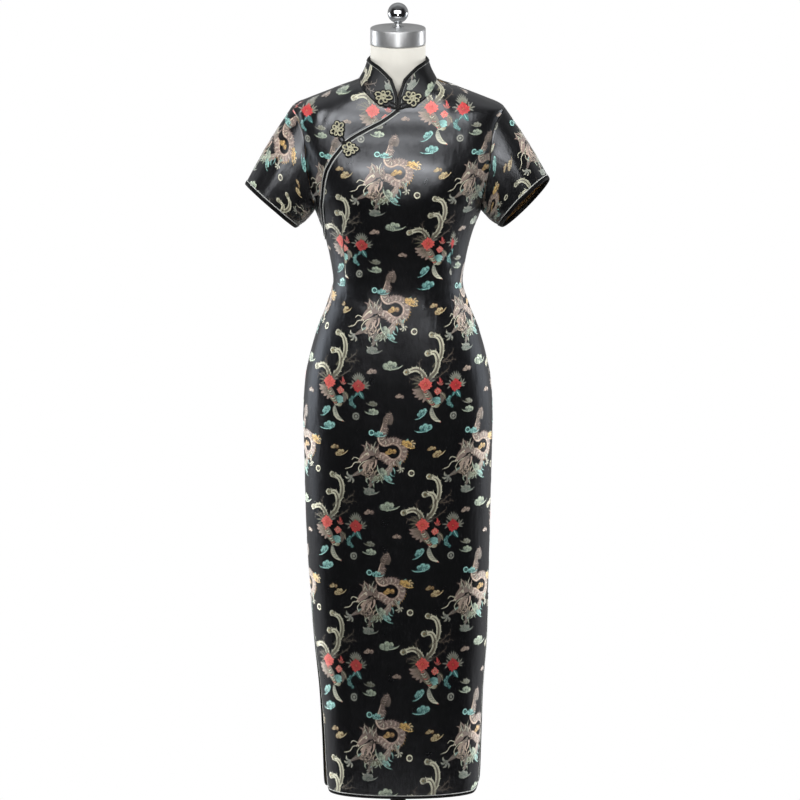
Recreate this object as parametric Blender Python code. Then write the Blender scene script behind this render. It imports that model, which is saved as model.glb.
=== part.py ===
"""Short-sleeved cheongsam dress on a limbless dress form with a round stand.

The front faces -Y and +Z is up. The origin is the centre of the underside of the stand. Heights
in the tables are measured from the hem of the dress. Left and right in all names are those of
somebody who faces the front: right is +X, where the wearer's left arm is.
"""

import math

import bmesh
import bpy
import numpy as np

# Driving dimensions, in metres
HEM_HEIGHT = 0.150  # the hem above the floor
WALL = 0.0013  # the lined brocade
SEAM_GAP = 0.0003  # between pieces that are sewn together
SEW_GAP = 0.00042  # where a sleeve or the collar turns off the body at its seam
SEW_LIFT = 0.00052
BINDING_THICK = 0.0009
BINDING_WIDTH = 0.0055
SIDE_LINE = 0.015  # the outermost column of a panel, as a share of its width

SLIT_TOP = 0.360
WAIST_ROW = 0.930  # where the straight rows of a panel end
PLACKET_END = 1.015
UNDERARM = 1.062
SHOULDER_TIP = 1.247
NECK_POINT = 1.300
ARMHOLE_DEPTH = 0.052
ARMHOLE_FULLNESS = 0.85
LIP_DROP = 0.0017  # the underlap's lip below the front's outer surface

CORNER_RIGHT = 0.045  # rounding of the hem's corners
CORNER_LEFT = 0.030
SLIT_FALL_RIGHT = 0.002  # how far the front's slit edges hang in from the back's
SLIT_FALL_LEFT = 0.006
SLIT_FALL_REACH = 0.050

BUST_HEIGHT = 1.125
BUST_SPREAD = 0.070
BUST_WIDTH = 0.045
BUST_RISE = 0.050
BUST_FULLNESS = 0.010

# Where the points of a seam or patch are moved from when they are put on the cloth's surface
CORE_SHARE = 0.6  # of a point's distance from the centre line
CORE_TOP = 1.150
FURTHEST = 2.6  # times a point's distance from the core
HALVINGS = 40

# The cloth's level sections. Columns: height, half width, depth in front, depth behind,
# squareness of the outline, and how far the section hangs towards +X.
BODY_SECTIONS = (
    (0.000, 0.139, 0.086, 0.100, 2.20, 0.007),
    (0.078, 0.142, 0.088, 0.102, 2.20, 0.007),
    (0.165, 0.145, 0.091, 0.105, 2.20, 0.006),
    (0.253, 0.153, 0.095, 0.108, 2.20, 0.005),
    (0.341, 0.158, 0.099, 0.112, 2.20, 0.003),
    (0.429, 0.163, 0.102, 0.116, 2.20, 0.001),
    (0.516, 0.166, 0.105, 0.119, 2.20, 0.000),
    (0.604, 0.168, 0.109, 0.123, 2.15, 0.000),
    (0.692, 0.170, 0.112, 0.126, 2.10, 0.000),
    (0.758, 0.166, 0.112, 0.122, 2.10, 0.000),
    (0.802, 0.157, 0.110, 0.115, 2.05, 0.000),
    (0.845, 0.145, 0.106, 0.107, 2.00, 0.000),
    (0.889, 0.128, 0.100, 0.097, 2.00, 0.000),
    (0.933, 0.116, 0.095, 0.089, 2.00, 0.000),
    (0.977, 0.122, 0.098, 0.088, 2.05, 0.000),
    (1.021, 0.133, 0.106, 0.091, 2.10, 0.000),
    (1.064, 0.149, 0.116, 0.095, 2.15, 0.000),
    (1.106, 0.164, 0.122, 0.098, 2.20, 0.000),
    (1.150, 0.176, 0.119, 0.101, 2.25, 0.000),
    (1.207, 0.184, 0.093, 0.100, 2.30, 0.000),
    (1.235, 0.189, 0.076, 0.094, 2.35, 0.000),
    (1.247, 0.1905, 0.070, 0.090, 2.40, 0.000),
    (1.253, 0.184, 0.067, 0.087, 2.40, 0.000),
    (1.262, 0.163, 0.064, 0.083, 2.40, 0.000),
    (1.284, 0.107, 0.058, 0.071, 2.40, 0.000),
    (1.300, 0.069, 0.056, 0.062, 2.30, 0.000),
    (1.337, 0.0515, 0.0515, 0.0515, 2.00, 0.000),
    (1.420, 0.0515, 0.0515, 0.0515, 2.00, 0.000),
)

# Outlines seen from the front. Columns: distance from the centre line, height.
NECKLINE_FRONT = (
    (0.000, 1.2570),
    (0.020, 1.2585),
    (0.038, 1.2650),
    (0.050, 1.2745),
    (0.060, 1.2850),
    (0.066, 1.2940),
)
NECKLINE_BACK = (
    (0.000, 1.2900),
    (0.025, 1.2915),
    (0.045, 1.2945),
    (0.060, 1.2975),
)
PLACKET = (
    (-0.1350, 1.0500),
    (-0.1372, 1.0800),
    (-0.1365, 1.1100),
    (-0.1330, 1.1400),
    (-0.1220, 1.1670),
    (-0.1080, 1.1860),
    (-0.0940, 1.2020),
    (-0.0760, 1.2140),
    (-0.0500, 1.2275),
    (-0.0320, 1.2365),
    (-0.0140, 1.2480),
)

# The collar's upper edge from its front corner to the back. Columns: x, y, height.
COLLAR_FRONT_EDGE = (
    (0.0004, -0.0622, 1.2730),
    (0.0045, -0.0585, 1.2900),
)
COLLAR_TOP_EDGE = (
    (0.0110, -0.0550, 1.3080),
    (0.0215, -0.0495, 1.3185),
    (0.0360, -0.0395, 1.3300),
    (0.0480, -0.0225, 1.3355),
    (0.0525, 0.0000, 1.3370),
    (0.0450, 0.0270, 1.3390),
    (0.0260, 0.0455, 1.3400),
    (0.0000, 0.0525, 1.3405),
)
COLLAR_SIDE_ROW = 4  # the row above that is over the neck point
COLLAR_END = 0.20  # the width of the binding's column, as a share of the neckline's first edge

# The cuffs. Columns: side, outer corner's x and height, inner corner's x and height,
# and how far the front edge is lifted above the back edge.
CUFFS = (
    ("right", 0.270, 1.1190, 0.187, 1.0315, 0.013),
    ("left", -0.273, 1.1090, -0.184, 1.0305, 0.004),
)
CUFF_HALF_DEPTH = 0.047
CUFF_CENTRE_Y = -0.004
SLEEVE_FULLNESS = 0.004

# How far the form stays inside the cloth. Columns: height, half width, front, back.
FORM_INSETS = (
    (0.620, 0.016, 0.014, 0.014),
    (0.700, 0.012, 0.012, 0.012),
    (0.900, 0.007, 0.007, 0.007),
    (0.950, 0.006, 0.007, 0.007),
    (1.100, 0.014, 0.012, 0.009),
    (1.200, 0.012, 0.011, 0.009),
    (1.240, 0.0130, 0.0140, 0.0190),
    (1.255, 0.0115, 0.0155, 0.0200),
    (1.284, 0.0110, 0.0175, 0.0180),
    (1.300, 0.0120, 0.0145, 0.0120),
    (1.337, 0.0022, 0.0022, 0.0022),
    (1.420, 0.0022, 0.0022, 0.0022),
)
FORM_BUST = 0.8  # of the cloth's fullness over the bust
FORM_EDGE = 0.004  # the bevel round its flat bottom
FORM_DROP = 0.0006  # the form's shoulders below the cloth's, besides the insets
FORM_BOTTOM = 0.620
FORM_TOP = 1.3620
FORM_SIDES = 32
FORM_BODY_RINGS = (0.660, 1.220, 0.035)  # the first, the end and the step
FORM_SHOULDER_RINGS = (
    *(1.2250, 1.2380, 1.2455, 1.2500, 1.2560, 1.2640, 1.2750),
    *(1.2840, 1.2920, 1.3000, 1.3120, 1.3240, 1.3370),
)

CAP_RADIUS = 0.0495
CAP_TOP = 1.3930
CAP_EDGE = 0.0030
BALL_RADIUS = 0.0185
BALL_CENTRE = 1.4190
STEM_RADIUS = 0.0062
STEM_FOOT_RADIUS = 0.0110
STEM_FOOT_HEIGHT = 0.0015
STEM_TAPER_HEIGHT = 0.0040
BALL_CUT = -65  # where the ball meets its stem, in degrees
CAP_DOME = 0.0012
CAP_SIDES = 40
BALL_SIDES = 24
POLE_RADIUS = 0.0140
POLE_SIDES = 20
BASE_RADIUS = 0.165
BASE_THICK = 0.012
BASE_EDGE = 0.003
BASE_SIDES = 48
HUB_RADIUS = 0.030
HUB_HEIGHT = 0.022
HUB_TAPER = 0.75

# The frog buttons. Columns: name, distance from the centre line, height, half width, half height.
COLLAR_FROGS = (
    ("frog_collar_left", -0.0255, 1.2760, 0.0150, 0.0125),
    ("frog_collar_right", 0.0255, 1.2755, 0.0150, 0.0125),
)
CHEST_FROGS = (
    ("frog_chest_upper", -0.1090, 1.2170, 0.0125, 0.0125),
    ("frog_chest_lower", -0.0850, 1.1890, 0.0125, 0.0125),
)
KNOT_RADIUS = 0.0045
KNOTS = (("knot_collar", 0.0, 1.2550), ("knot_chest", -0.0975, 1.1995))
FROG_THICK = 0.0030
FROG_SIDES = 12
FROG_RINGS = ((1.0, 0.0), (1.0, 0.45), (0.7, 1.0))  # shares of its size and of its thickness
COLLAR_FROG_LIFT = 0.0003
CHEST_FROG_LIFT = 0.0009

NECK_STEPS = 5  # the edges of a quarter of the neckline
HALF_COLUMNS = (0.0, SIDE_LINE, 0.06, 0.11, 0.17, 0.23, 0.30, 0.34, 0.38, 0.42, 0.46, 0.5)
SHOULDER_COLUMNS = 6  # the edges of a shoulder seam, among the half's columns
SKIRT_ROWS = (
    0.0,
    BINDING_WIDTH,
    0.020,
    0.045,
    0.110,
    0.190,
    0.275,
    SLIT_TOP,
    0.450,
    0.540,
    0.620,
    0.690,
    0.745,
    0.790,
    0.835,
    0.880,
    WAIST_ROW,
)
SIDE_ROWS = 3  # from the waist row up to the armhole
ARMHOLE_SHARES = (0.0, 0.12, 0.24, 0.36, 0.48, 0.60, 0.72, 0.83, 0.94, 1.0)
CHEST_ROWS = SIDE_ROWS + len(ARMHOLE_SHARES) - 1
PLACKET_TURN = 0.50  # where the placket turns from the front's side to its top, by length
PLACKET_NARROW = 0.02
PLACKET_SIDE_ROWS = 8
UNDERLAP_SIDE_ROWS = 2
UNDERLAP_NECK_STEPS = (0, 0.33, 0.66, 1, 1.5, 2, 2.5, 3, 3.5, 4, 4.5, 5)
SLEEVE_ROWS = 7
COLLAR_ROWS = 4
PANEL_EASING = 60  # rounds
UNDERLAP_EASING = 2
UNDERLAP_DIP = 0.3  # where its lip starts to dip, as a share of the first row's width
COLLAR_GAP = 0.0004  # between the collar's two ends


# Curves and the cloth's surface


def through(knots, values):
    """A smooth curve through values at the rising knots, which never overshoots them."""
    knots = np.asarray(knots, float)
    values = np.asarray(values, float).reshape(len(knots), -1)
    step = np.diff(knots)[:, None]
    slope = np.diff(values, axis=0) / step
    same = slope[1:] * slope[:-1] > 0
    mean = 2 * slope[1:] * slope[:-1] / np.where(same, slope[1:] + slope[:-1], 1.0)
    rate = np.vstack([slope[:1], np.where(same, mean, 0.0), slope[-1:]])

    def at(where):
        where = np.clip(np.asarray(where, float), knots[0], knots[-1])
        i = np.clip(np.searchsorted(knots, where, side="right") - 1, 0, len(knots) - 2)
        h = step[i]
        t = ((where - knots[i])[:, None]) / h
        start = values[i] * (1 + 2 * t) * (1 - t) ** 2 + rate[i] * h * t * (1 - t) ** 2
        return start + values[i + 1] * (3 - 2 * t) * t**2 - rate[i + 1] * h * t**2 * (1 - t)

    return at


def path(points):
    """A curve through points, read by the share of its length."""
    points = np.asarray(points, float)
    along = np.concatenate([[0], np.cumsum(np.linalg.norm(np.diff(points, axis=0), axis=1))])
    return through(along / along[-1], points)


def along(points, shares):
    """Places on a run of points, at shares of its length."""
    points = np.asarray(points, float)
    run = np.concatenate([[0], np.cumsum(np.linalg.norm(np.diff(points, axis=0), axis=1))])
    shares = np.asarray(shares, float) * run[-1]
    return np.stack([np.interp(shares, run, points[:, k]) for k in range(3)], axis=1)


def between(points, steps):
    """Places on a run of points, at steps counted from its first point."""
    points = np.asarray(points, float)
    count = np.arange(len(points))
    return np.stack([np.interp(steps, count, points[:, k]) for k in range(3)], axis=1)


sections = through([row[0] for row in BODY_SECTIONS], [row[1:] for row in BODY_SECTIONS])
form_insets = through([row[0] for row in FORM_INSETS], [row[1:] for row in FORM_INSETS])


def bust(x, z):
    """The fullness that the front darts give."""
    across = (np.abs(x) - BUST_SPREAD) / BUST_WIDTH
    up = (z - BUST_HEIGHT) / BUST_RISE
    return BUST_FULLNESS * np.exp(-(across**2) - up**2)


def outside(p):
    """Below 0 inside the cloth's outer surface, and above 0 outside it."""
    width, front, back, square, lean = sections(p[:, 2]).T
    x = np.abs(p[:, 0] - lean)
    depth = np.where(p[:, 1] < 0, front + bust(x, p[:, 2]), back)
    return (x / width) ** square + (np.abs(p[:, 1]) / depth) ** square - 1


def onto(p):
    """The points moved out or in to the cloth's surface, away from the body's middle."""
    shape = p.shape
    p = p.reshape(-1, 3)
    core = np.stack([CORE_SHARE * p[:, 0], 0 * p[:, 1], np.minimum(p[:, 2], CORE_TOP)], axis=1)
    low, high = np.zeros(len(p)), np.full(len(p), FURTHEST)
    for _ in range(HALVINGS):
        middle = (low + high) / 2
        out = outside(core + (p - core) * middle[:, None]) > 0
        high = np.where(out, middle, high)
        low = np.where(out, low, middle)
    return (core + (p - core) * high[:, None]).reshape(shape)


def normals(p):
    """The outward directions of the cloth's surface at the points."""
    shape = p.shape
    p = p.reshape(-1, 3)
    small = 0.0004
    rise = np.stack([outside(p + s) - outside(p - s) for s in small * np.eye(3)], axis=1)
    return (rise / np.linalg.norm(rise, axis=1)[:, None]).reshape(shape)


def at_height(x, z, side):
    """Points of the cloth at a distance from the centre line. side is -1 for the front."""
    x, z = np.asarray(x, float), np.asarray(z, float)
    width, front, back, square, lean = sections(z).T
    depth = front + bust(x, z) if side < 0 else back
    share = np.clip(np.abs(x - lean) / width, 0, 1)
    return np.stack([x, side * depth * (1 - share**square) ** (1 / square), z], axis=1)


def across(share, z, side):
    """Points of the cloth by the share of a section's half girth, from -X to +X."""
    turn = np.linspace(0, math.pi, 181)
    out = np.zeros((len(share), 3))
    for k, (f, height) in enumerate(zip(share, z)):
        width, front, back, square, lean = sections([height])[0]
        x = -width * np.sign(np.cos(turn)) * np.abs(np.cos(turn)) ** (2 / square)
        depth = front + bust(x, height) if side < 0 else back
        y = side * depth * np.sin(turn) ** (2 / square)
        along = np.concatenate([[0], np.cumsum(np.hypot(np.diff(x), np.diff(y)))])
        place = f * along[-1]
        out[k] = np.interp(place, along, x) + lean, np.interp(place, along, y), height
    return out


def half_girth(z):
    """About how wide a panel is at a height."""
    width, front, back, square, lean = sections([z])[0]
    return math.pi * math.sqrt((width**2 + ((front + back) / 2) ** 2) / 2)


# Seams, each as the run of points that its two pieces share


def side_line(low, high, sign, shares):
    """The side seam or the shoulder seam: the widest points of the sections."""
    z = np.linspace(low, high, 60)
    width, front, back, square, lean = sections(z).T
    return along(np.stack([lean + sign * width, 0 * z, z], axis=1), shares)


def armhole(sign, side):
    """Half an armhole, from the underarm to the shoulder tip."""
    turn = np.linspace(-math.pi / 2, math.pi / 2, 61)
    z = (UNDERARM + SHOULDER_TIP) / 2 + (SHOULDER_TIP - UNDERARM) / 2 * np.sin(turn)
    y = side * ARMHOLE_DEPTH * np.abs(np.cos(turn)) ** ARMHOLE_FULLNESS
    width, front, back, square, lean = sections(z).T
    depth = front if side < 0 else back
    x = lean + sign * width * (1 - (np.abs(y) / depth) ** square) ** (1 / square)
    return along(np.stack([x, y, z], axis=1), ARMHOLE_SHARES)


def neckline(sign, side):
    """A quarter of the neckline, from the centre line to the neck point."""
    rows = NECKLINE_FRONT if side < 0 else NECKLINE_BACK
    width = sections([NECK_POINT])[0][0]
    flat = [(x, z, 0) for x, z in (*rows, (width, NECK_POINT))]
    seen = path(flat)(np.linspace(0, 1, 120))
    line = at_height(sign * seen[:, 0], seen[:, 1], side)
    return along(line, np.linspace(0, 1, NECK_STEPS + 1))


def shoulder(sign):
    """A shoulder seam, from the shoulder tip to the neck point."""
    shares = np.array(HALF_COLUMNS[: SHOULDER_COLUMNS + 1]) / HALF_COLUMNS[SHOULDER_COLUMNS]
    return side_line(SHOULDER_TIP, NECK_POINT, sign, shares)


def placket():
    """The edge of the front, from the side seam over the chest to the centre of the neck."""
    width = sections([PLACKET_END])[0][0]
    rows = [(-width, PLACKET_END), *PLACKET, (0.0, NECKLINE_FRONT[0][1])]
    seen = path([(x, z, 0) for x, z in rows])(np.linspace(0, 1, 160))
    line = at_height(seen[:, 0], seen[:, 1], -1)
    side = np.linspace(0, PLACKET_TURN - PLACKET_NARROW, PLACKET_SIDE_ROWS)
    over = np.array(HALF_COLUMNS) / HALF_COLUMNS[-1] * (1 - PLACKET_TURN) + PLACKET_TURN
    return along(line, np.concatenate([side, over]))


def side_edge(start, rows, sign, side):
    """A panel's edge from a height at the side up to the shoulder tip."""
    seam = side_line(start, UNDERARM, sign, np.linspace(0, 1, rows + 1))
    return np.vstack([seam[:-1], armhole(sign, side)])


def outward(line, direction, middle):
    """The directions in the cloth's surface that leave a piece across its edge."""
    run = np.gradient(line, axis=0)
    across_edge = np.cross(run, direction)
    across_edge /= np.linalg.norm(across_edge, axis=1)[:, None]
    return across_edge * np.sign((across_edge * (line - middle)).sum(1))[:, None]


def sewn(line, body_direction, leave, own_direction):
    """The first row of a piece that is sewn to an edge: its points and its wall's direction."""
    turned_in = np.maximum((own_direction * leave).sum(1), 0)[:, None]
    wall = own_direction - turned_in * leave
    start = line + leave * SEW_GAP + body_direction * SEW_LIFT
    return start, wall / np.linalg.norm(wall, axis=1)[:, None]


# Grids of points


def patch(bottom, top, left, right, us, vs):
    """A grid between four runs of points. vs has a row of shares for each row of the grid."""
    u = np.asarray(us)[None, :, None]
    v = np.asarray(vs)[:, :, None]
    sides = (1 - u) * left[:, None] + u * right[:, None]
    ends = (1 - v) * bottom[None] + v * top[None]
    flat = (1 - v) * ((1 - u) * bottom[0] + u * bottom[-1])
    flat = flat + v * ((1 - u) * top[0] + u * top[-1])
    return ends + sides - flat


def rounded(share, z):
    """The hem's corners: a square corner of the flat panel drawn in to an arc."""
    girth = half_girth(0.0)
    share, z = share.copy(), z.copy()
    for left, radius in ((True, CORNER_LEFT), (False, CORNER_RIGHT)):
        edge = (share if left else 1 - share) * girth
        near = (edge < radius) & (z < radius)
        p, q = radius - edge, radius - z
        edge = np.where(near, radius - p * np.sqrt(np.abs(1 - q**2 / (2 * radius**2))), edge)
        z = np.where(near, radius - q * np.sqrt(np.abs(1 - p**2 / (2 * radius**2))), z)
        share = np.where(near, (edge if left else girth - edge) / girth, share)
    return share, z


def columns():
    half = np.array(HALF_COLUMNS)
    return np.concatenate([half, 1 - half[-2::-1]])


def skirt(side):
    """A panel's grid from the hem to the waist."""
    share, z = np.meshgrid(columns(), SKIRT_ROWS)
    flat_share, flat_z = rounded(share.ravel(), z.ravel())
    p = across(flat_share, flat_z, side)
    if side < 0:
        girth = half_girth(0.0)
        open_part = np.clip(1 - flat_z / SLIT_TOP, 0, 1)
        for fall, edge, sign in (
            (SLIT_FALL_LEFT, flat_share * girth, 1),
            (SLIT_FALL_RIGHT, (1 - flat_share) * girth, -1),
        ):
            p[:, 0] += sign * fall * open_part * np.exp(-((edge / SLIT_FALL_REACH) ** 2))
    return p.reshape(*share.shape, 3)


def level(shares, count):
    """The same shares for every column of a patch."""
    return np.repeat(np.asarray(shares, float)[:, None], count, axis=1)


def eased(grid, rounds):
    """A patch on the cloth's surface with its inner points evenly spread."""
    for _ in range(rounds):
        beside = grid[1:-1, :-2] + grid[1:-1, 2:] + grid[:-2, 1:-1] + grid[2:, 1:-1]
        grid[1:-1, 1:-1] = onto(beside / 4)
    return grid


def beside_edge(edge, inner):
    """A run of points on the cloth, as far from an edge as the binding is wide."""
    step = inner - edge
    return onto(edge + step * BINDING_WIDTH / np.linalg.norm(step, axis=1)[:, None])


def panel_grid(top, left, right, side):
    """A whole panel. The chest is eased without its edge rows, which are then put in."""
    us = columns()
    wide = np.delete(np.arange(len(us)), (1, len(us) - 2))
    bottom = across(us, np.full(len(us), WAIST_ROW), side)
    vs = level(np.linspace(0, 1, CHEST_ROWS), len(wide))
    main = np.delete(np.arange(CHEST_ROWS + 1), -2)
    edges = left[main], right[main]
    chest = eased(onto(patch(bottom[wide], top[wide], *edges, us[wide], vs)), PANEL_EASING)
    chest = np.vstack([chest[:-1], beside_edge(chest[-1], chest[-2])[None], chest[-1:]])
    chest[:, 0], chest[:, -1] = left, right
    near_left = beside_edge(left, chest[:, 1])
    near_right = beside_edge(right, chest[:, -2])
    chest = np.insert(chest, (1, chest.shape[1] - 1), 0.0, axis=1)
    chest[:, 1], chest[:, -2] = near_left, near_right
    chest[0], chest[-1] = bottom, top
    grid = np.vstack([skirt(side)[:-1], chest])
    return grid + np.array([0, side * SEAM_GAP / 2, 0]), normals(grid)


def front_grid():
    edge = placket()
    over = edge[PLACKET_SIDE_ROWS:]
    top = np.vstack([over, neckline(1, -1)[1:], shoulder(1)[-2::-1]])
    seam = side_line(WAIST_ROW, PLACKET_END, -1, np.linspace(0, 1, CHEST_ROWS - PLACKET_SIDE_ROWS + 1))
    left = np.vstack([seam[:-1], edge[: PLACKET_SIDE_ROWS + 1]])
    return panel_grid(top, left, side_edge(WAIST_ROW, SIDE_ROWS, 1, -1), -1)


def under_front(front):
    """The front's points just inside the placket, which the underlap's lip follows."""
    first = len(front) - 1 - PLACKET_SIDE_ROWS
    side = front[first:-2, 1]
    over = front[-2, 1 : len(HALF_COLUMNS)]
    around = [(side[-1] + over[0]) / 2, over[0], (over[0] + over[1]) / 2]
    return np.vstack([side, around, over[1:]])


def back_grid():
    neck = np.vstack([neckline(-1, 1)[-2::-1], neckline(1, 1)[1:]])
    top = np.vstack([shoulder(-1), neck, shoulder(1)[-2::-1]])
    edges = [side_edge(WAIST_ROW, SIDE_ROWS, sign, 1) for sign in (-1, 1)]
    return panel_grid(top, *edges, 1)


def underlap_grid(lip):
    """The yoke under the placket. Its lip dips under the front, whose second row it follows."""
    line = placket()
    us = np.linspace(0, 1, len(line))
    steps = np.concatenate([np.arange(15) / 3, np.linspace(5, 6, len(line) - 15)])
    top = between(shoulder(-1), steps)
    left = side_edge(PLACKET_END, UNDERLAP_SIDE_ROWS, -1, -1)
    right = between(neckline(-1, -1), UNDERLAP_NECK_STEPS)
    vs = level(np.linspace(0, 1, len(left)), len(us))
    yoke = eased(onto(patch(line, top, left, right, us, vs)), UNDERLAP_EASING)
    yoke[:, 0], yoke[:, -1], yoke[0], yoke[-1] = left, right, line, top
    dip = onto(line + UNDERLAP_DIP * (yoke[1] - line))[None]
    grid = np.vstack([lip[None], yoke[:1], dip, yoke[1:]])
    drop = np.zeros(len(grid))
    drop[:2] = LIP_DROP
    direction = normals(grid)
    grid = grid - direction * drop[:, None, None] - np.array([0, SEAM_GAP / 2, 0])
    return grid, direction


def surface_normals(grid, closed):
    """The directions square to a grid of points, for pieces that leave the body's surface."""
    if closed:
        wrapped = np.concatenate([grid[:, -1:], grid, grid[:, :1]], axis=1)
        run = (wrapped[:, 2:] - wrapped[:, :-2]) / 2
    else:
        run = np.gradient(grid, axis=1)
    n = np.cross(run, np.gradient(grid, axis=0))
    n /= np.linalg.norm(n, axis=2)[:, :, None]
    return n * np.sign((n * (grid - grid.mean(1)[:, None])).sum())


def sleeve_grid(outer_x, outer_z, inner_x, inner_z, lift):
    sign = math.copysign(1, outer_x)
    halves = armhole(sign, -1), armhole(sign, 1)
    line = np.vstack([halves[0], halves[1][-2:0:-1]])
    body_out = normals(line)
    leave = np.cross(np.roll(line, -1, axis=0) - np.roll(line, 1, axis=0), body_out)
    leave /= np.linalg.norm(leave, axis=1)[:, None]
    leave *= np.sign((leave * (line.mean(0) - line)).sum())
    count = len(line)
    turn = np.zeros(count)
    low = np.array(ARMHOLE_SHARES) * math.pi - math.pi / 2
    turn[: len(low)] = low
    turn[len(low) :] = math.pi - low[-2:0:-1]
    centre = np.array([(outer_x + inner_x) / 2, CUFF_CENTRE_Y, (outer_z + inner_z) / 2])
    up = np.array([outer_x - inner_x, 0, outer_z - inner_z]) / 2
    down = np.array([up[2] * sign, 0, -up[0] * sign]) / np.linalg.norm(up)
    forward = np.array([0, -CUFF_HALF_DEPTH, 0]) - down * lift
    end = centre + np.sin(turn)[:, None] * up + np.cos(turn)[:, None] * forward
    start = line + leave * SEW_GAP
    last = 1 - BINDING_WIDTH / np.linalg.norm(end - start, axis=1)
    t = np.vstack([np.linspace(0, 1, SLEEVE_ROWS)[:, None] * last, np.ones((1, count))])
    t = t[:, :, None]
    swell = line - line.mean(0)
    swell /= np.linalg.norm(swell, axis=1)[:, None]
    grid = start * (1 - t) + end * t + swell * SLEEVE_FULLNESS * np.sin(math.pi * t)
    direction = surface_normals(grid, True)
    grid[0], direction[0] = sewn(line, body_out, leave, direction[0])
    return grid, direction


def collar_grid():
    """The collar's band, from its end at +X back over -X and the nape."""
    quarters = [neckline(-1, -1), neckline(-1, 1)[::-1], neckline(1, 1), neckline(1, -1)[::-1]]
    line = np.vstack([quarters[0], *(q[1:] for q in quarters[1:])])
    steps = np.arange(len(line), dtype=float)
    steps = np.insert(steps, (1, len(line) - 1), (COLLAR_END, len(line) - 1 - COLLAR_END))
    body_out = between(normals(line), steps)
    line = between(line, steps)
    leave = outward(line, body_out, line + np.array([0, 0, -0.1]))

    edge = path(COLLAR_TOP_EDGE)
    points = np.array(COLLAR_TOP_EDGE)
    run = np.linalg.norm(np.diff(points, axis=0), axis=1)
    side = run[:COLLAR_SIDE_ROW].sum() / run.sum()
    half = steps[: len(steps) // 2 + 1] / NECK_STEPS
    shares = np.where(half < 1, half * side, side + (half - 1) * (1 - side))
    quarter = edge(shares)
    top = np.vstack([quarter * [-1, 1, 1], quarter[-2::-1]])

    us = steps / steps[-1]
    bottom = line + leave * SEW_GAP + body_out * SEW_LIFT
    bottom[0, 0], bottom[-1, 0] = -COLLAR_GAP, COLLAR_GAP
    height = np.linalg.norm(top - bottom, axis=1)
    vs = level(np.linspace(0, 1, COLLAR_ROWS + 1), len(us)) * (1 - BINDING_WIDTH / height)
    vs = np.vstack([vs, np.ones((1, len(us)))])
    front = path([bottom[-1], *COLLAR_FRONT_EDGE, COLLAR_TOP_EDGE[0]])(vs[:, -1])
    grid = patch(bottom, top, front * [-1, 1, 1], front, us, vs)
    direction = surface_normals(grid, False)
    direction[0] = sewn(line, body_out, leave, direction[0])[1]
    return grid, direction


# Solids


def material(name, colour, roughness, metallic=0.0):
    m = bpy.data.materials.new(name)
    m.use_nodes = True
    shader = m.node_tree.nodes["Principled BSDF"]
    shader.inputs["Base Color"].default_value = (*colour, 1)
    shader.inputs["Roughness"].default_value = roughness
    shader.inputs["Metallic"].default_value = metallic
    return m


def add(name, bm, surface, smooth=True):
    bmesh.ops.recalc_face_normals(bm, faces=bm.faces)
    mesh = bpy.data.meshes.new(name)
    bm.to_mesh(mesh)
    bm.free()
    if smooth:
        mesh.shade_smooth()
        mesh.set_sharp_from_angle(angle=math.radians(40))
    mesh.materials.append(surface)
    o = bpy.data.objects.new(name, mesh)
    bpy.context.collection.objects.link(o)
    return o


def slab(name, grid, direction, cells, near, far, surface, closed=False):
    """A closed piece over some cells of a grid, between two distances from its points."""
    bm = bmesh.new()
    width = grid.shape[1]
    raised = np.array([0, 0, HEM_HEIGHT])
    made = {}

    def vertex(i, j, outer):
        key = (i, j % width if closed else j, outer)
        if key not in made:
            distance = far if outer else near
            place = grid[key[0], key[1]] + direction[key[0], key[1]] * distance + raised
            made[key] = bm.verts.new(place)
        return made[key]

    edges = {}
    for i, j in cells:
        corners = ((i, j), (i, j + 1), (i + 1, j + 1), (i + 1, j))
        a, b, c, d = (grid[k, m % width] for k, m in corners)
        first = 0 if np.linalg.norm(a - c) <= np.linalg.norm(b - d) else 1
        turned_corners = corners[first:] + corners[:first]
        for half in (turned_corners[:3], (turned_corners[0], *turned_corners[2:])):
            bm.faces.new([vertex(*c, True) for c in half])
            bm.faces.new([vertex(*c, False) for c in reversed(half)])
        for a, b in zip(corners, corners[1:] + corners[:1]):
            key = frozenset((made[(c[0], c[1] % width if closed else c[1], True)] for c in (a, b)))
            edges[key] = None if key in edges else (a, b)
    for pair in edges.values():
        if pair:
            a, b = pair
            rim = (vertex(*b, True), vertex(*a, True), vertex(*a, False), vertex(*b, False))
            bm.faces.new(rim)
    return add(name, bm, surface)


def every_cell(grid, closed=False):
    rows, width = grid.shape[0] - 1, grid.shape[1] - (0 if closed else 1)
    return [(i, j) for i in range(rows) for j in range(width)]


def turned(name, profile, sides, surface, centre=(0.0, 0.0)):
    """A solid of revolution about a vertical line, from (radius, height) pairs."""
    bm = bmesh.new()
    verts = [bm.verts.new((r, 0, z)) for r, z in profile]
    line = [bm.edges.new(pair) for pair in zip(verts, verts[1:])]
    bmesh.ops.spin(
        bm,
        geom=verts + line,
        cent=(0, 0, 0),
        axis=(0, 0, 1),
        angle=math.tau,
        steps=sides,
        use_merge=True,
    )
    bmesh.ops.remove_doubles(bm, verts=bm.verts, dist=1e-6)
    bmesh.ops.translate(bm, verts=bm.verts, vec=(*centre, 0))
    return add(name, bm, surface)


def arc(centre_r, centre_z, radius, start, end, steps):
    """(radius, height) pairs along an arc, with its angles in degrees from the outward side."""
    turn = np.radians(np.linspace(start, end, steps + 1))
    return [(centre_r + radius * math.cos(a), centre_z + radius * math.sin(a)) for a in turn]


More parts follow.
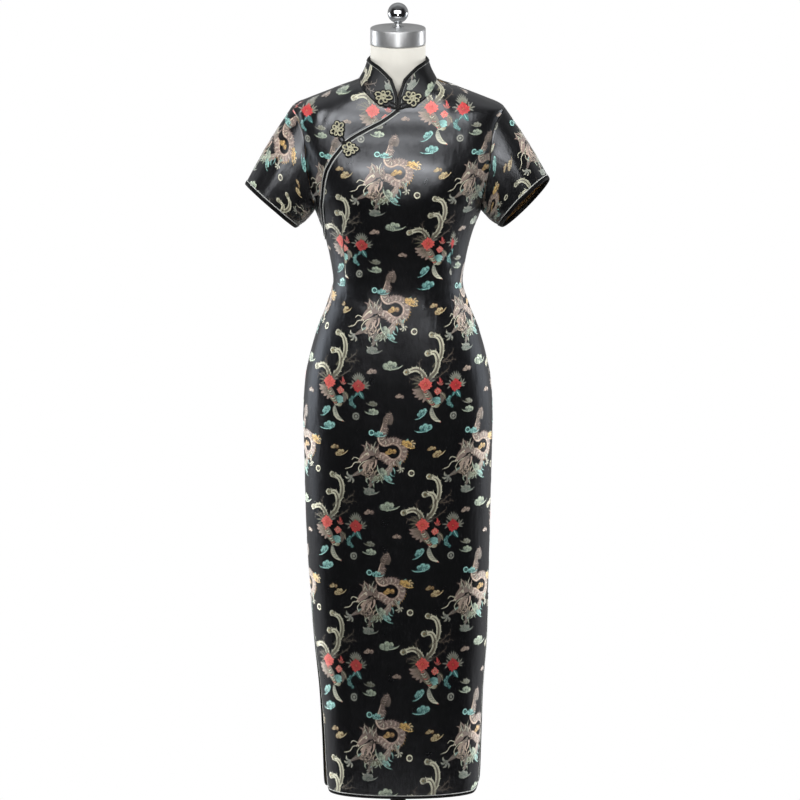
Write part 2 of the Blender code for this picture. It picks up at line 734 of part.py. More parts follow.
def form_rings():
    """The dress form's level sections, from the flat bottom to the top of the neck."""
    heights = np.concatenate(
        [
            [FORM_BOTTOM, FORM_BOTTOM + FORM_EDGE],
            np.arange(*FORM_BODY_RINGS),
            FORM_SHOULDER_RINGS,
            [FORM_TOP],
        ]
    )
    turn = np.arange(FORM_SIDES) * math.tau / FORM_SIDES
    rings = []
    for k, z in enumerate(heights):
        width, front, back, square, lean = sections([z + FORM_DROP])[0]
        inset = form_insets([z])[0]
        shrink = FORM_EDGE if k == 0 else 0.0
        c, s = np.cos(turn), np.sin(turn)
        depth = np.where(s < 0, front - inset[1], back - inset[2])
        x = (width - inset[0] - shrink) * np.sign(c) * np.abs(c) ** (2 / square)
        y = (depth - shrink) * np.sign(s) * np.abs(s) ** (2 / square)
        full = np.where(s < 0, FORM_BUST * bust(x, z), 0) * np.abs(s)
        rings.append(np.stack([x, y - full, np.full(FORM_SIDES, z + HEM_HEIGHT)], axis=1))
    return rings


def dress_form(surface):
    bm = bmesh.new()
    rings = [[bm.verts.new(p) for p in ring] for ring in form_rings()]
    for low, high in zip(rings, rings[1:]):
        for k in range(FORM_SIDES):
            j = (k + 1) % FORM_SIDES
            bm.faces.new((low[k], low[j], high[j], high[k]))
    bm.faces.new(reversed(rings[0]))
    bm.faces.new(rings[-1])
    return add("dress_form", bm, surface)


def frog(name, centre, n, half_width, half_height, surface):
    """A flower of looped cord, as a domed oval pad that lies square to its direction n."""
    bm = bmesh.new()
    side = np.cross([0, 0, 1], n)
    side /= np.linalg.norm(side)
    up = np.cross(n, side)
    rings = []
    for share, height in FROG_RINGS:
        ring = []
        for k in range(FROG_SIDES):
            a = k * math.tau / FROG_SIDES
            offset = side * math.cos(a) * half_width + up * math.sin(a) * half_height
            ring.append(bm.verts.new(centre + offset * share + n * height * FROG_THICK))
        rings.append(ring)
    for low, high in zip(rings, rings[1:]):
        for k in range(FROG_SIDES):
            j = (k + 1) % FROG_SIDES
            bm.faces.new((low[k], low[j], high[j], high[k]))
    bm.faces.new(reversed(rings[0]))
    bm.faces.new(rings[-1])
    return add(name, bm, surface)


def knot(name, centre, surface):
    bm = bmesh.new()
    bmesh.ops.create_uvsphere(bm, u_segments=10, v_segments=7, radius=KNOT_RADIUS)
    bmesh.ops.translate(bm, verts=bm.verts, vec=centre)
    return add(name, bm, surface)


# The object


def clear_scene():
    for o in list(bpy.data.objects):
        bpy.data.objects.remove(o, do_unlink=True)


def bound_edges(grid, rows_up):
    """The cells along the hem and up both slit edges."""
    last = grid.shape[1] - 2
    sides = [(i, j) for i in range(1, rows_up) for j in (0, last)]
    return [(0, j) for j in range(last + 1)] + sides


def dress(brocade, binding):
    near, far = SEAM_GAP, SEAM_GAP + BINDING_THICK
    slit_rows = SKIRT_ROWS.index(SLIT_TOP)

    front, front_out = front_grid()
    slab("front_panel", front, front_out, every_cell(front), -WALL, 0, brocade)
    top = front.shape[0] - 2
    placket_cells = [(top, j) for j in range(len(HALF_COLUMNS) - 1)]
    placket_cells += [(i, 0) for i in range(top + 1 - PLACKET_SIDE_ROWS, top)]
    slab("placket_binding", front, front_out, placket_cells, near, far, binding)
    slab("front_hem_binding", front, front_out, bound_edges(front, slit_rows), near, far, binding)

    back, back_out = back_grid()
    slab("back_panel", back, back_out, every_cell(back), -WALL, 0, brocade)
    slab("back_hem_binding", back, back_out, bound_edges(back, slit_rows), near, far, binding)

    under, under_out = underlap_grid(under_front(front) + [0, SEAM_GAP / 2, 0])
    slab("underlap", under, under_out, every_cell(under), -WALL, 0, brocade)

    for side, *cuff in CUFFS:
        grid, out = sleeve_grid(*cuff)
        slab(f"sleeve_{side}", grid, out, every_cell(grid, True), -WALL, 0, brocade, True)
        last = grid.shape[0] - 2
        cells = [(last, j) for j in range(grid.shape[1])]
        slab(f"cuff_binding_{side}", grid, out, cells, near, far, binding, True)

    collar, collar_out = collar_grid()
    slab("collar", collar, collar_out, every_cell(collar), -WALL, 0, brocade)
    top, last = collar.shape[0] - 2, collar.shape[1] - 2
    cells = [(top, j) for j in range(last + 1)]
    cells += [(i, j) for i in range(top) for j in (0, last)]
    slab("collar_binding", collar, collar_out, cells, near, far, binding)
    return collar, collar_out


def collar_place(grid, direction, x, z):
    """The point of the collar's front that is nearest to a place seen from the front."""
    front = grid[:, :, 1] < 0
    away = np.hypot(grid[:, :, 0] - x, grid[:, :, 2] - z) + 1.0 * ~front
    order = np.argsort(away.ravel())[:3]
    weight = 1 / (away.ravel()[order] + 1e-4)
    n = (direction.reshape(-1, 3)[order] * weight[:, None]).sum(0)
    y = (grid.reshape(-1, 3)[order, 1] * weight).sum() / weight.sum()
    return np.array([x, y, z]), n / np.linalg.norm(n)


def frogs(collar, collar_out, cord, black_cord):
    """The flowers of the two pairs of frog buttons and the knots between them."""
    raised = np.array([0, 0, HEM_HEIGHT])
    for name, x, z, half_width, half_height in COLLAR_FROGS:
        place, n = collar_place(collar, collar_out, x, z)
        frog(name, place + n * COLLAR_FROG_LIFT + raised, n, half_width, half_height, cord)
    for name, x, z, half_width, half_height in CHEST_FROGS:
        place = at_height([x], [z], -1)[0]
        n = normals(place[None])[0]
        frog(name, place + n * CHEST_FROG_LIFT + raised, n, half_width, half_height, cord)
    for name, x, z in KNOTS:
        place = at_height([x], [z], -1)[0]
        lift = SEAM_GAP * 3 + BINDING_THICK + KNOT_RADIUS
        knot(name, place + normals(place[None])[0] * lift + raised, black_cord)


def stand(metal):
    """The cap with its ball over the neck, and the pole and base under the form."""
    low, high = HEM_HEIGHT + FORM_TOP + SEAM_GAP, HEM_HEIGHT + CAP_TOP
    inner = CAP_RADIUS - CAP_EDGE
    rim = arc(inner, low + CAP_EDGE, CAP_EDGE, -90, 0, 3)
    brim = arc(inner, high - CAP_EDGE, CAP_EDGE, 0, 90, 3)
    turned("neck_cap", [(0, low), *rim, *brim, (0, high + CAP_DOME)], CAP_SIDES, metal)

    foot = high + CAP_DOME + SEAM_GAP
    ball = arc(0, HEM_HEIGHT + BALL_CENTRE, BALL_RADIUS, BALL_CUT, 90, 9)
    stem = [(0, foot), (STEM_FOOT_RADIUS, foot), (STEM_FOOT_RADIUS, foot + STEM_FOOT_HEIGHT)]
    waist = [(STEM_RADIUS, foot + STEM_TAPER_HEIGHT)]
    turned("finial", [*stem, *waist, *ball[:-1], (0, ball[-1][1])], BALL_SIDES, metal)

    hub = BASE_THICK + HUB_HEIGHT
    edge = arc(BASE_RADIUS - BASE_EDGE, BASE_THICK - BASE_EDGE, BASE_EDGE, 0, 90, 3)
    collar = [(HUB_RADIUS, BASE_THICK), (HUB_RADIUS * HUB_TAPER, hub), (0, hub)]
    turned("stand_base", [(0, 0), (BASE_RADIUS, 0), *edge, *collar], BASE_SIDES, metal)
    ends = hub + SEAM_GAP, HEM_HEIGHT + FORM_BOTTOM - SEAM_GAP
    profile = [(0, ends[0]), (POLE_RADIUS, ends[0]), (POLE_RADIUS, ends[1]), (0, ends[1])]
    turned("stand_pole", profile, POLE_SIDES, metal)


def main():
    clear_scene()
    brocade = material("black_brocade", (0.012, 0.012, 0.014), 0.35)
    binding = material("black_binding", (0.008, 0.008, 0.009), 0.40)
    cord = material("gold_cord", (0.60, 0.56, 0.36), 0.45)
    black_cord = material("black_cord", (0.008, 0.008, 0.009), 0.45)
    cover = material("cream_cover", (0.80, 0.77, 0.71), 0.80)
    metal = material("polished_metal", (0.62, 0.62, 0.62), 0.22, 1.0)

    collar, collar_out = dress(brocade, binding)
    frogs(collar, collar_out, cord, black_cord)
    dress_form(cover)
    stand(metal)


main()
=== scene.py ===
"""Brocade cheongsam dress on a limbless dress form, laid out as an add-on.

The front faces -Y and +Z is up. Heights in the tables are measured from the hem of the dress.
Left and right in all names are those of somebody who faces the front: right is +X.
"""

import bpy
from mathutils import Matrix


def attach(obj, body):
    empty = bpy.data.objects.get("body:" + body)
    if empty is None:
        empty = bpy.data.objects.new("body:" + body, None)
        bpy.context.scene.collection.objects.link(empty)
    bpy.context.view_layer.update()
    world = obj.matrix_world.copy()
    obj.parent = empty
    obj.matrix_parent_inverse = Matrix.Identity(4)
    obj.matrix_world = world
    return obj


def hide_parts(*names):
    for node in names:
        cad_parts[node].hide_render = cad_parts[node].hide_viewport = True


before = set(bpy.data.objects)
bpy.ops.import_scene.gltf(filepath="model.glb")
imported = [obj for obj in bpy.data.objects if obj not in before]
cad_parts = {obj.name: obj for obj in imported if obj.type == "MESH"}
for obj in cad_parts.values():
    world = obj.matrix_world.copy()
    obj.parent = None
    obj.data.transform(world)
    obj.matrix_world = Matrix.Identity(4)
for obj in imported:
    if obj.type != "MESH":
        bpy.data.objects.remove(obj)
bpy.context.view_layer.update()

import functools
import math

import bmesh
import bpy
import numpy as np
from mathutils import Vector
from mathutils.bvhtree import BVHTree

bl_info = {
    "name": "Brocade Cheongsam",
    "version": (1, 0, 0),
    "blender": (4, 5, 0),
    "location": "View3D > Sidebar > Cheongsam",
    "description": "Builds a brocade cheongsam dress on a limbless dress form",
    "category": "Object",
}

# Driving dimensions, in metres
HEM_HEIGHT = 0.150  # the hem above the floor
SEAM_GAP = 0.0003  # between pieces that are sewn together
SEW_GAP = 0.00042  # where a sleeve or the collar turns off the body at its seam
SEW_LIFT = 0.00052
BINDING_WIDTH = 0.0055  # in the solids, and of the edge rows and columns of the pieces here
SIDE_LINE = 0.015  # the outermost column of a panel, as a share of its width

SLIT_TOP = 0.360
WAIST_ROW = 0.930  # where the straight rows of a panel end
PLACKET_END = 1.015
UNDERARM = 1.062
SHOULDER_TIP = 1.247
NECK_POINT = 1.300
ARMHOLE_DEPTH = 0.052
ARMHOLE_FULLNESS = 0.85
LIP_DROP = 0.0017  # the underlap's lip below the front's outer surface

CORNER_RIGHT = 0.045  # rounding of the hem's corners
CORNER_LEFT = 0.030
SLIT_FALL_RIGHT = 0.002  # how far the front's slit edges hang in from the back's
SLIT_FALL_LEFT = 0.006
SLIT_FALL_REACH = 0.050

BUST_HEIGHT = 1.125
BUST_SPREAD = 0.070
BUST_WIDTH = 0.045
BUST_RISE = 0.050
BUST_FULLNESS = 0.010

# Where the points of a seam or patch are moved from when they are put on the cloth's surface
CORE_SHARE = 0.6  # of a point's distance from the centre line
CORE_TOP = 1.150
FURTHEST = 2.6  # times a point's distance from the core
HALVINGS = 40

# The cloth's level sections. Columns: height, half width, depth in front, depth behind,
# squareness of the outline, and how far the section hangs towards +X.
BODY_SECTIONS = (
    (0.000, 0.139, 0.086, 0.100, 2.20, 0.007),
    (0.078, 0.142, 0.088, 0.102, 2.20, 0.007),
    (0.165, 0.145, 0.091, 0.105, 2.20, 0.006),
    (0.253, 0.153, 0.095, 0.108, 2.20, 0.005),
    (0.341, 0.158, 0.099, 0.112, 2.20, 0.003),
    (0.429, 0.163, 0.102, 0.116, 2.20, 0.001),
    (0.516, 0.166, 0.105, 0.119, 2.20, 0.000),
    (0.604, 0.168, 0.109, 0.123, 2.15, 0.000),
    (0.692, 0.170, 0.112, 0.126, 2.10, 0.000),
    (0.758, 0.166, 0.112, 0.122, 2.10, 0.000),
    (0.802, 0.157, 0.110, 0.115, 2.05, 0.000),
    (0.845, 0.145, 0.106, 0.107, 2.00, 0.000),
    (0.889, 0.128, 0.100, 0.097, 2.00, 0.000),
    (0.933, 0.116, 0.095, 0.089, 2.00, 0.000),
    (0.977, 0.122, 0.098, 0.088, 2.05, 0.000),
    (1.021, 0.133, 0.106, 0.091, 2.10, 0.000),
    (1.064, 0.149, 0.116, 0.095, 2.15, 0.000),
    (1.106, 0.164, 0.122, 0.098, 2.20, 0.000),
    (1.150, 0.176, 0.119, 0.101, 2.25, 0.000),
    (1.207, 0.184, 0.093, 0.100, 2.30, 0.000),
    (1.235, 0.189, 0.076, 0.094, 2.35, 0.000),
    (1.247, 0.1905, 0.070, 0.090, 2.40, 0.000),
    (1.253, 0.184, 0.067, 0.087, 2.40, 0.000),
    (1.262, 0.163, 0.064, 0.083, 2.40, 0.000),
    (1.284, 0.107, 0.058, 0.071, 2.40, 0.000),
    (1.300, 0.069, 0.056, 0.062, 2.30, 0.000),
    (1.337, 0.0515, 0.0515, 0.0515, 2.00, 0.000),
    (1.420, 0.0515, 0.0515, 0.0515, 2.00, 0.000),
)

# Outlines seen from the front. Columns: distance from the centre line, height.
NECKLINE_FRONT = (
    (0.000, 1.2570), (0.020, 1.2585), (0.038, 1.2650), (0.050, 1.2745), (0.060, 1.2850),
    (0.066, 1.2940),
)
NECKLINE_BACK = (
    (0.000, 1.2900), (0.025, 1.2915), (0.045, 1.2945), (0.060, 1.2975),
)
PLACKET = (
    (-0.1350, 1.0500), (-0.1372, 1.0800), (-0.1365, 1.1100), (-0.1330, 1.1400), (-0.1220, 1.1670),
    (-0.1080, 1.1860), (-0.0940, 1.2020), (-0.0760, 1.2140), (-0.0500, 1.2275), (-0.0320, 1.2365),
    (-0.0140, 1.2480),
)

# The collar's upper edge from its front corner to the back. Columns: x, y, height.
COLLAR_FRONT_EDGE = (
    (0.0004, -0.0622, 1.2730),
    (0.0045, -0.0585, 1.2900),
)
COLLAR_TOP_EDGE = (
    (0.0110, -0.0550, 1.3080), (0.0215, -0.0495, 1.3185), (0.0360, -0.0395, 1.3300),
    (0.0480, -0.0225, 1.3355), (0.0525, 0.0000, 1.3370), (0.0450, 0.0270, 1.3390),
    (0.0260, 0.0455, 1.3400), (0.0000, 0.0525, 1.3405),
)
COLLAR_SIDE_ROW = 4  # the row above that is over the neck point
COLLAR_END = 0.20  # the width of the binding's column, as a share of the neckline's first edge

# The cuffs. Columns: side, outer corner's x and height, inner corner's x and height,
# and how far the front edge is lifted above the back edge.
CUFFS = (
    ("right", 0.270, 1.1190, 0.187, 1.0315, 0.013),
    ("left", -0.273, 1.1090, -0.184, 1.0305, 0.004),
)
CUFF_HALF_DEPTH = 0.047
CUFF_CENTRE_Y = -0.004
SLEEVE_FULLNESS = 0.004

# How far the form stays inside the cloth. Columns: height, half width, front, back.
FORM_INSETS = (
    (0.620, 0.016, 0.014, 0.014),
    (0.700, 0.012, 0.012, 0.012),
    (0.900, 0.007, 0.007, 0.007),
    (0.950, 0.006, 0.007, 0.007),
    (1.100, 0.014, 0.012, 0.009),
    (1.200, 0.012, 0.011, 0.009),
    (1.240, 0.0130, 0.0140, 0.0190),
    (1.255, 0.0115, 0.0155, 0.0200),
    (1.284, 0.0110, 0.0175, 0.0180),
    (1.300, 0.0120, 0.0145, 0.0120),
    (1.337, 0.0022, 0.0022, 0.0022),
    (1.420, 0.0022, 0.0022, 0.0022),
)
FORM_BUST = 0.8  # of the cloth's fullness over the bust
FORM_EDGE = 0.004  # the bevel round its flat bottom
FORM_DROP = 0.0006  # the form's shoulders below the cloth's, besides the insets
FORM_BOTTOM = 0.620
FORM_TOP = 1.3620

CAP_RADIUS = 0.0495
CAP_TOP = 1.3930
CAP_EDGE = 0.0030
BALL_RADIUS = 0.0185
BALL_CENTRE = 1.4190
STEM_RADIUS = 0.0062
STEM_FOOT_RADIUS = 0.0110
STEM_FOOT_HEIGHT = 0.0015
STEM_TAPER_HEIGHT = 0.0040
BALL_CUT = -65  # where the ball meets its stem, in degrees
CAP_DOME = 0.0012
POLE_RADIUS = 0.0140
BASE_RADIUS = 0.165
BASE_THICK = 0.012
BASE_EDGE = 0.003
HUB_RADIUS = 0.030
HUB_HEIGHT = 0.022
HUB_TAPER = 0.75
HUB_EDGE = (0.0015, 0.0020)  # its bevel, across and down
KNOT_RADIUS = 0.0045

NECK_STEPS = 5  # the edges of a quarter of the neckline
HALF_COLUMNS = (0.0, SIDE_LINE, 0.06, 0.11, 0.17, 0.23, 0.30, 0.34, 0.38, 0.42, 0.46, 0.5)
SHOULDER_COLUMNS = 6  # the edges of a shoulder seam, among the half's columns
SKIRT_ROWS = (
    0.0, BINDING_WIDTH, 0.020, 0.045, 0.110, 0.190, 0.275, SLIT_TOP, 0.450, 0.540, 0.620, 0.690,
    0.745, 0.790, 0.835, 0.880, WAIST_ROW,
)
SIDE_ROWS = 3  # from the waist row up to the armhole
ARMHOLE_SHARES = (0.0, 0.12, 0.24, 0.36, 0.48, 0.60, 0.72, 0.83, 0.94, 1.0)
CHEST_ROWS = SIDE_ROWS + len(ARMHOLE_SHARES) - 1
PLACKET_TURN = 0.50  # where the placket turns from the front's side to its top, by length
PLACKET_NARROW = 0.02
PLACKET_SIDE_ROWS = 8
UNDERLAP_SIDE_ROWS = 2
UNDERLAP_NECK_STEPS = (0, 0.33, 0.66, 1, 1.5, 2, 2.5, 3, 3.5, 4, 4.5, 5)
SLEEVE_ROWS = 7
COLLAR_ROWS = 4
PANEL_EASING = 60  # rounds
UNDERLAP_EASING = 2
UNDERLAP_THIRDS = 15  # columns at thirds of a shoulder's steps
UNDERLAP_DIP = 0.3  # where its lip starts to dip, as a share of the first row's width
COLLAR_GAP = 0.0004  # between the collar's two ends


# Curves and the cloth's surface


def unit(v):
    """The vectors along the last axis, each with a length of 1."""
    return v / np.linalg.norm(v, axis=-1, keepdims=True)


def lengths_to(points):
    """The length of a run of points up to each of them."""
    return np.concatenate([[0], np.cumsum(np.linalg.norm(np.diff(points, axis=0), axis=1))])


def eased_between(start, end, start_rate, end_rate, t):
    """A smooth step between two values, from their rates at both ends."""
    leaving = start * (1 + 2 * t) * (1 - t) ** 2 + start_rate * t * (1 - t) ** 2
    return leaving + end * (3 - 2 * t) * t**2 - end_rate * t**2 * (1 - t)


def through(knots, values):
    """A smooth curve through values at the rising knots, which never overshoots them."""
    knots = np.asarray(knots, float)
    values = np.asarray(values, float).reshape(len(knots), -1)
    step = np.diff(knots)[:, None]
    slope = np.diff(values, axis=0) / step
    same = slope[1:] * slope[:-1] > 0
    mean = 2 * slope[1:] * slope[:-1] / np.where(same, slope[1:] + slope[:-1], 1.0)
    rate = np.vstack([slope[:1], np.where(same, mean, 0.0), slope[-1:]])

    def at(where):
        where = np.clip(np.asarray(where, float), knots[0], knots[-1])
        i = np.clip(np.searchsorted(knots, where, side="right") - 1, 0, len(knots) - 2)
        t = (where - knots[i])[:, None] / step[i]
        return eased_between(values[i], values[i + 1], rate[i] * step[i], rate[i + 1] * step[i], t)

    return at


def path(points):
    """A curve through points, read by the share of its length."""
    run = lengths_to(points)
    return through(run / run[-1], points)


def read(places, knots, points):
    """Places on a run of points that has a knot for each of them."""
    return np.stack([np.interp(places, knots, column) for column in points.T], axis=1)


def along(points, shares):
    """Places on a run of points, at shares of its length."""
    run = lengths_to(points)
    return read(np.asarray(shares, float) * run[-1], run, points)


def between(points, steps):
    """Places on a run of points, at steps counted from its first point."""
    return read(steps, np.arange(len(points)), points)


sections = through([row[0] for row in BODY_SECTIONS], [row[1:] for row in BODY_SECTIONS])
form_insets = through([row[0] for row in FORM_INSETS], [row[1:] for row in FORM_INSETS])


def bust(x, z):
    """The fullness that the front darts give."""
    across = (np.abs(x) - BUST_SPREAD) / BUST_WIDTH
    up = (z - BUST_HEIGHT) / BUST_RISE
    return BUST_FULLNESS * np.exp(-(across**2) - up**2)


def outside(p):
    """Below 0 inside the cloth's outer surface, and above 0 outside it."""
    width, front, back, square, lean = sections(p[:, 2]).T
    x = np.abs(p[:, 0] - lean)
    depth = np.where(p[:, 1] < 0, front + bust(x, p[:, 2]), back)
    return (x / width) ** square + (np.abs(p[:, 1]) / depth) ** square - 1


def onto(p):
    """The points moved out or in to the cloth's surface, away from the body's middle."""
    shape = p.shape
    p = p.reshape(-1, 3)
    core = np.stack([CORE_SHARE * p[:, 0], 0 * p[:, 1], np.minimum(p[:, 2], CORE_TOP)], axis=1)
    low, high = np.zeros(len(p)), np.full(len(p), FURTHEST)
    for _ in range(HALVINGS):
        middle = (low + high) / 2
        out = outside(core + (p - core) * middle[:, None]) > 0
        high = np.where(out, middle, high)
        low = np.where(out, low, middle)
    return (core + (p - core) * high[:, None]).reshape(shape)


def normals(p):
    """The outward directions of the cloth's surface at the points."""
    shape = p.shape
    p = p.reshape(-1, 3)
    small = 0.0004
    rise = np.stack([outside(p + s) - outside(p - s) for s in small * np.eye(3)], axis=1)
    return unit(rise).reshape(shape)


def at_height(x, z, side):
    """Points of the cloth at a distance from the centre line. side is -1 for the front."""
    x, z = np.asarray(x, float), np.asarray(z, float)
    width, front, back, square, lean = sections(z).T
    depth = front + bust(x, z) if side < 0 else back
    share = np.clip(np.abs(x - lean) / width, 0, 1)
    return np.stack([x, side * depth * (1 - share**square) ** (1 / square), z], axis=1)


def across(share, z, side):
    """Points of the cloth by the share of a section's half girth, from -X to +X."""
    turn = np.linspace(0, math.pi, 181)
    out = np.zeros((len(share), 3))
    for k, (f, height) in enumerate(zip(share, z)):
        width, front, back, square, lean = sections([height])[0]
        x = -width * np.sign(np.cos(turn)) * np.abs(np.cos(turn)) ** (2 / square)
        depth = front + bust(x, height) if side < 0 else back
        y = side * depth * np.sin(turn) ** (2 / square)
        run = lengths_to(np.stack([x, y], axis=1))
        place = f * run[-1]
        out[k] = np.interp(place, run, x) + lean, np.interp(place, run, y), height
    return out


def half_girth(z):
    """About how wide a panel is at a height."""
    width, front, back, *_ = sections([z])[0]
    return math.pi * math.sqrt((width**2 + ((front + back) / 2) ** 2) / 2)


# Seams, each as the run of points that its two pieces share


def side_line(low, high, sign, shares):
    """The side seam or the shoulder seam: the widest points of the sections."""
    z = np.linspace(low, high, 60)
    width, *_, lean = sections(z).T
    return along(np.stack([lean + sign * width, 0 * z, z], axis=1), shares)


def armhole(sign, side):
    """Half an armhole, from the underarm to the shoulder tip."""
    turn = np.linspace(-math.pi / 2, math.pi / 2, 61)
    z = (UNDERARM + SHOULDER_TIP) / 2 + (SHOULDER_TIP - UNDERARM) / 2 * np.sin(turn)
    y = side * ARMHOLE_DEPTH * np.abs(np.cos(turn)) ** ARMHOLE_FULLNESS
    width, front, back, square, lean = sections(z).T
    depth = front if side < 0 else back
    x = lean + sign * width * (1 - (np.abs(y) / depth) ** square) ** (1 / square)
    return along(np.stack([x, y, z], axis=1), ARMHOLE_SHARES)


def neckline(sign, side):
    """A quarter of the neckline, from the centre line to the neck point."""
    rows = NECKLINE_FRONT if side < 0 else NECKLINE_BACK
    width = sections([NECK_POINT])[0][0]
    seen = path([*rows, (width, NECK_POINT)])(np.linspace(0, 1, 120))
    line = at_height(sign * seen[:, 0], seen[:, 1], side)
    return along(line, np.linspace(0, 1, NECK_STEPS + 1))


def shoulder(sign):
    """A shoulder seam, from the shoulder tip to the neck point."""
    shares = np.array(HALF_COLUMNS[: SHOULDER_COLUMNS + 1]) / HALF_COLUMNS[SHOULDER_COLUMNS]
    return side_line(SHOULDER_TIP, NECK_POINT, sign, shares)


def placket():
    """The edge of the front, from the side seam over the chest to the centre of the neck."""
    width = sections([PLACKET_END])[0][0]
    rows = [(-width, PLACKET_END), *PLACKET, (0.0, NECKLINE_FRONT[0][1])]
    seen = path(rows)(np.linspace(0, 1, 160))
    line = at_height(seen[:, 0], seen[:, 1], -1)
    side = np.linspace(0, PLACKET_TURN - PLACKET_NARROW, PLACKET_SIDE_ROWS)
    over = np.array(HALF_COLUMNS) / HALF_COLUMNS[-1] * (1 - PLACKET_TURN) + PLACKET_TURN
    return along(line, np.concatenate([side, over]))


def side_edge(start, rows, sign, side):
    """A panel's edge from a height at the side up to the shoulder tip."""
    seam = side_line(start, UNDERARM, sign, np.linspace(0, 1, rows + 1))
    return np.vstack([seam[:-1], armhole(sign, side)])


def outward(line, direction, middle):
    """The directions in the cloth's surface that leave a piece across its edge."""
    run = np.gradient(line, axis=0)
    across_edge = unit(np.cross(run, direction))
    return across_edge * np.sign((across_edge * (line - middle)).sum(1))[:, None]


def sewn(line, body_direction, leave, own_direction):
    """The first row of a piece that is sewn to an edge: its points and its wall's direction."""
    turned_in = np.maximum((own_direction * leave).sum(1), 0)[:, None]
    wall = own_direction - turned_in * leave
    start = line + leave * SEW_GAP + body_direction * SEW_LIFT
    return start, unit(wall)


# Grids of points


def patch(bottom, top, left, right, us, vs):
    """A grid between four runs of points. vs has a row of shares for each row of the grid."""
    u = np.asarray(us)[None, :, None]
    v = np.asarray(vs)[:, :, None]
    sides = (1 - u) * left[:, None] + u * right[:, None]
    ends = (1 - v) * bottom[None] + v * top[None]
    flat = (1 - v) * ((1 - u) * bottom[0] + u * bottom[-1])
    flat = flat + v * ((1 - u) * top[0] + u * top[-1])
    return ends + sides - flat


def rounded(share, z):
    """The hem's corners: a square corner of the flat panel drawn in to an arc."""
    girth = half_girth(0.0)
    share, z = share.copy(), z.copy()
    for left, radius in ((True, CORNER_LEFT), (False, CORNER_RIGHT)):
        edge = (share if left else 1 - share) * girth
        near = (edge < radius) & (z < radius)
        p, q = radius - edge, radius - z
        edge = np.where(near, radius - p * np.sqrt(np.abs(1 - q**2 / (2 * radius**2))), edge)
        z = np.where(near, radius - q * np.sqrt(np.abs(1 - p**2 / (2 * radius**2))), z)
        share = np.where(near, (edge if left else girth - edge) / girth, share)
    return share, z


def columns():
    half = np.array(HALF_COLUMNS)
    return np.concatenate([half, 1 - half[-2::-1]])


def skirt(side):
    """A panel's grid from the hem to the waist."""
    share, z = np.meshgrid(columns(), SKIRT_ROWS)
    flat_share, flat_z = rounded(share.ravel(), z.ravel())
    p = across(flat_share, flat_z, side)
    if side < 0:
        girth = half_girth(0.0)
        open_part = np.clip(1 - flat_z / SLIT_TOP, 0, 1)
        edges = (flat_share * girth, SLIT_FALL_LEFT), ((1 - flat_share) * girth, -SLIT_FALL_RIGHT)
        for edge, fall in edges:
            p[:, 0] += fall * open_part * np.exp(-((edge / SLIT_FALL_REACH) ** 2))
    return p.reshape(*share.shape, 3)


def level(shares, count):
    """The same shares for every column of a patch."""
    return np.repeat(np.asarray(shares, float)[:, None], count, axis=1)


def eased(grid, rounds):
    """A patch on the cloth's surface with its inner points evenly spread."""
    for _ in range(rounds):
        beside = grid[1:-1, :-2] + grid[1:-1, 2:] + grid[:-2, 1:-1] + grid[2:, 1:-1]
        grid[1:-1, 1:-1] = onto(beside / 4)
    return grid


def beside_edge(edge, inner):
    """A run of points on the cloth, as far from an edge as the binding is wide."""
    return onto(edge + unit(inner - edge) * BINDING_WIDTH)


def panel_grid(top, left, right, side):
    """A whole panel. The chest is eased without its edge rows, which are then put in."""
    us = columns()
    wide = np.delete(np.arange(len(us)), (1, len(us) - 2))
    bottom = across(us, np.full(len(us), WAIST_ROW), side)
    vs = level(np.linspace(0, 1, CHEST_ROWS), len(wide))
    main = np.delete(np.arange(CHEST_ROWS + 1), -2)
    edges = left[main], right[main]
    chest = eased(onto(patch(bottom[wide], top[wide], *edges, us[wide], vs)), PANEL_EASING)
    chest = np.vstack([chest[:-1], beside_edge(chest[-1], chest[-2])[None], chest[-1:]])
    chest[:, 0], chest[:, -1] = left, right
    near_left = beside_edge(left, chest[:, 1])
    near_right = beside_edge(right, chest[:, -2])
    chest = np.insert(chest, (1, chest.shape[1] - 1), 0.0, axis=1)
    chest[:, 1], chest[:, -2] = near_left, near_right
    chest[0], chest[-1] = bottom, top
    grid = np.vstack([skirt(side)[:-1], chest])
    return grid + np.array([0, side * SEAM_GAP / 2, 0]), normals(grid)


def front_grid():
    edge = placket()
    over = edge[PLACKET_SIDE_ROWS:]
    top = np.vstack([over, neckline(1, -1)[1:], shoulder(1)[-2::-1]])
    seam = side_line(WAIST_ROW, PLACKET_END, -1, np.linspace(0, 1, CHEST_ROWS - PLACKET_SIDE_ROWS + 1))
    left = np.vstack([seam[:-1], edge[: PLACKET_SIDE_ROWS + 1]])
    return panel_grid(top, left, side_edge(WAIST_ROW, SIDE_ROWS, 1, -1), -1)


def under_front(front):
    """The front's points just inside the placket, which the underlap's lip follows."""
    first = len(front) - 1 - PLACKET_SIDE_ROWS
    side = front[first:-2, 1]
    over = front[-2, 1 : len(HALF_COLUMNS)]
    around = [(side[-1] + over[0]) / 2, over[0], (over[0] + over[1]) / 2]
    return np.vstack([side, around, over[1:]])


def back_grid():
    neck = np.vstack([neckline(-1, 1)[-2::-1], neckline(1, 1)[1:]])
    top = np.vstack([shoulder(-1), neck, shoulder(1)[-2::-1]])
    edges = [side_edge(WAIST_ROW, SIDE_ROWS, sign, 1) for sign in (-1, 1)]
    return panel_grid(top, *edges, 1)


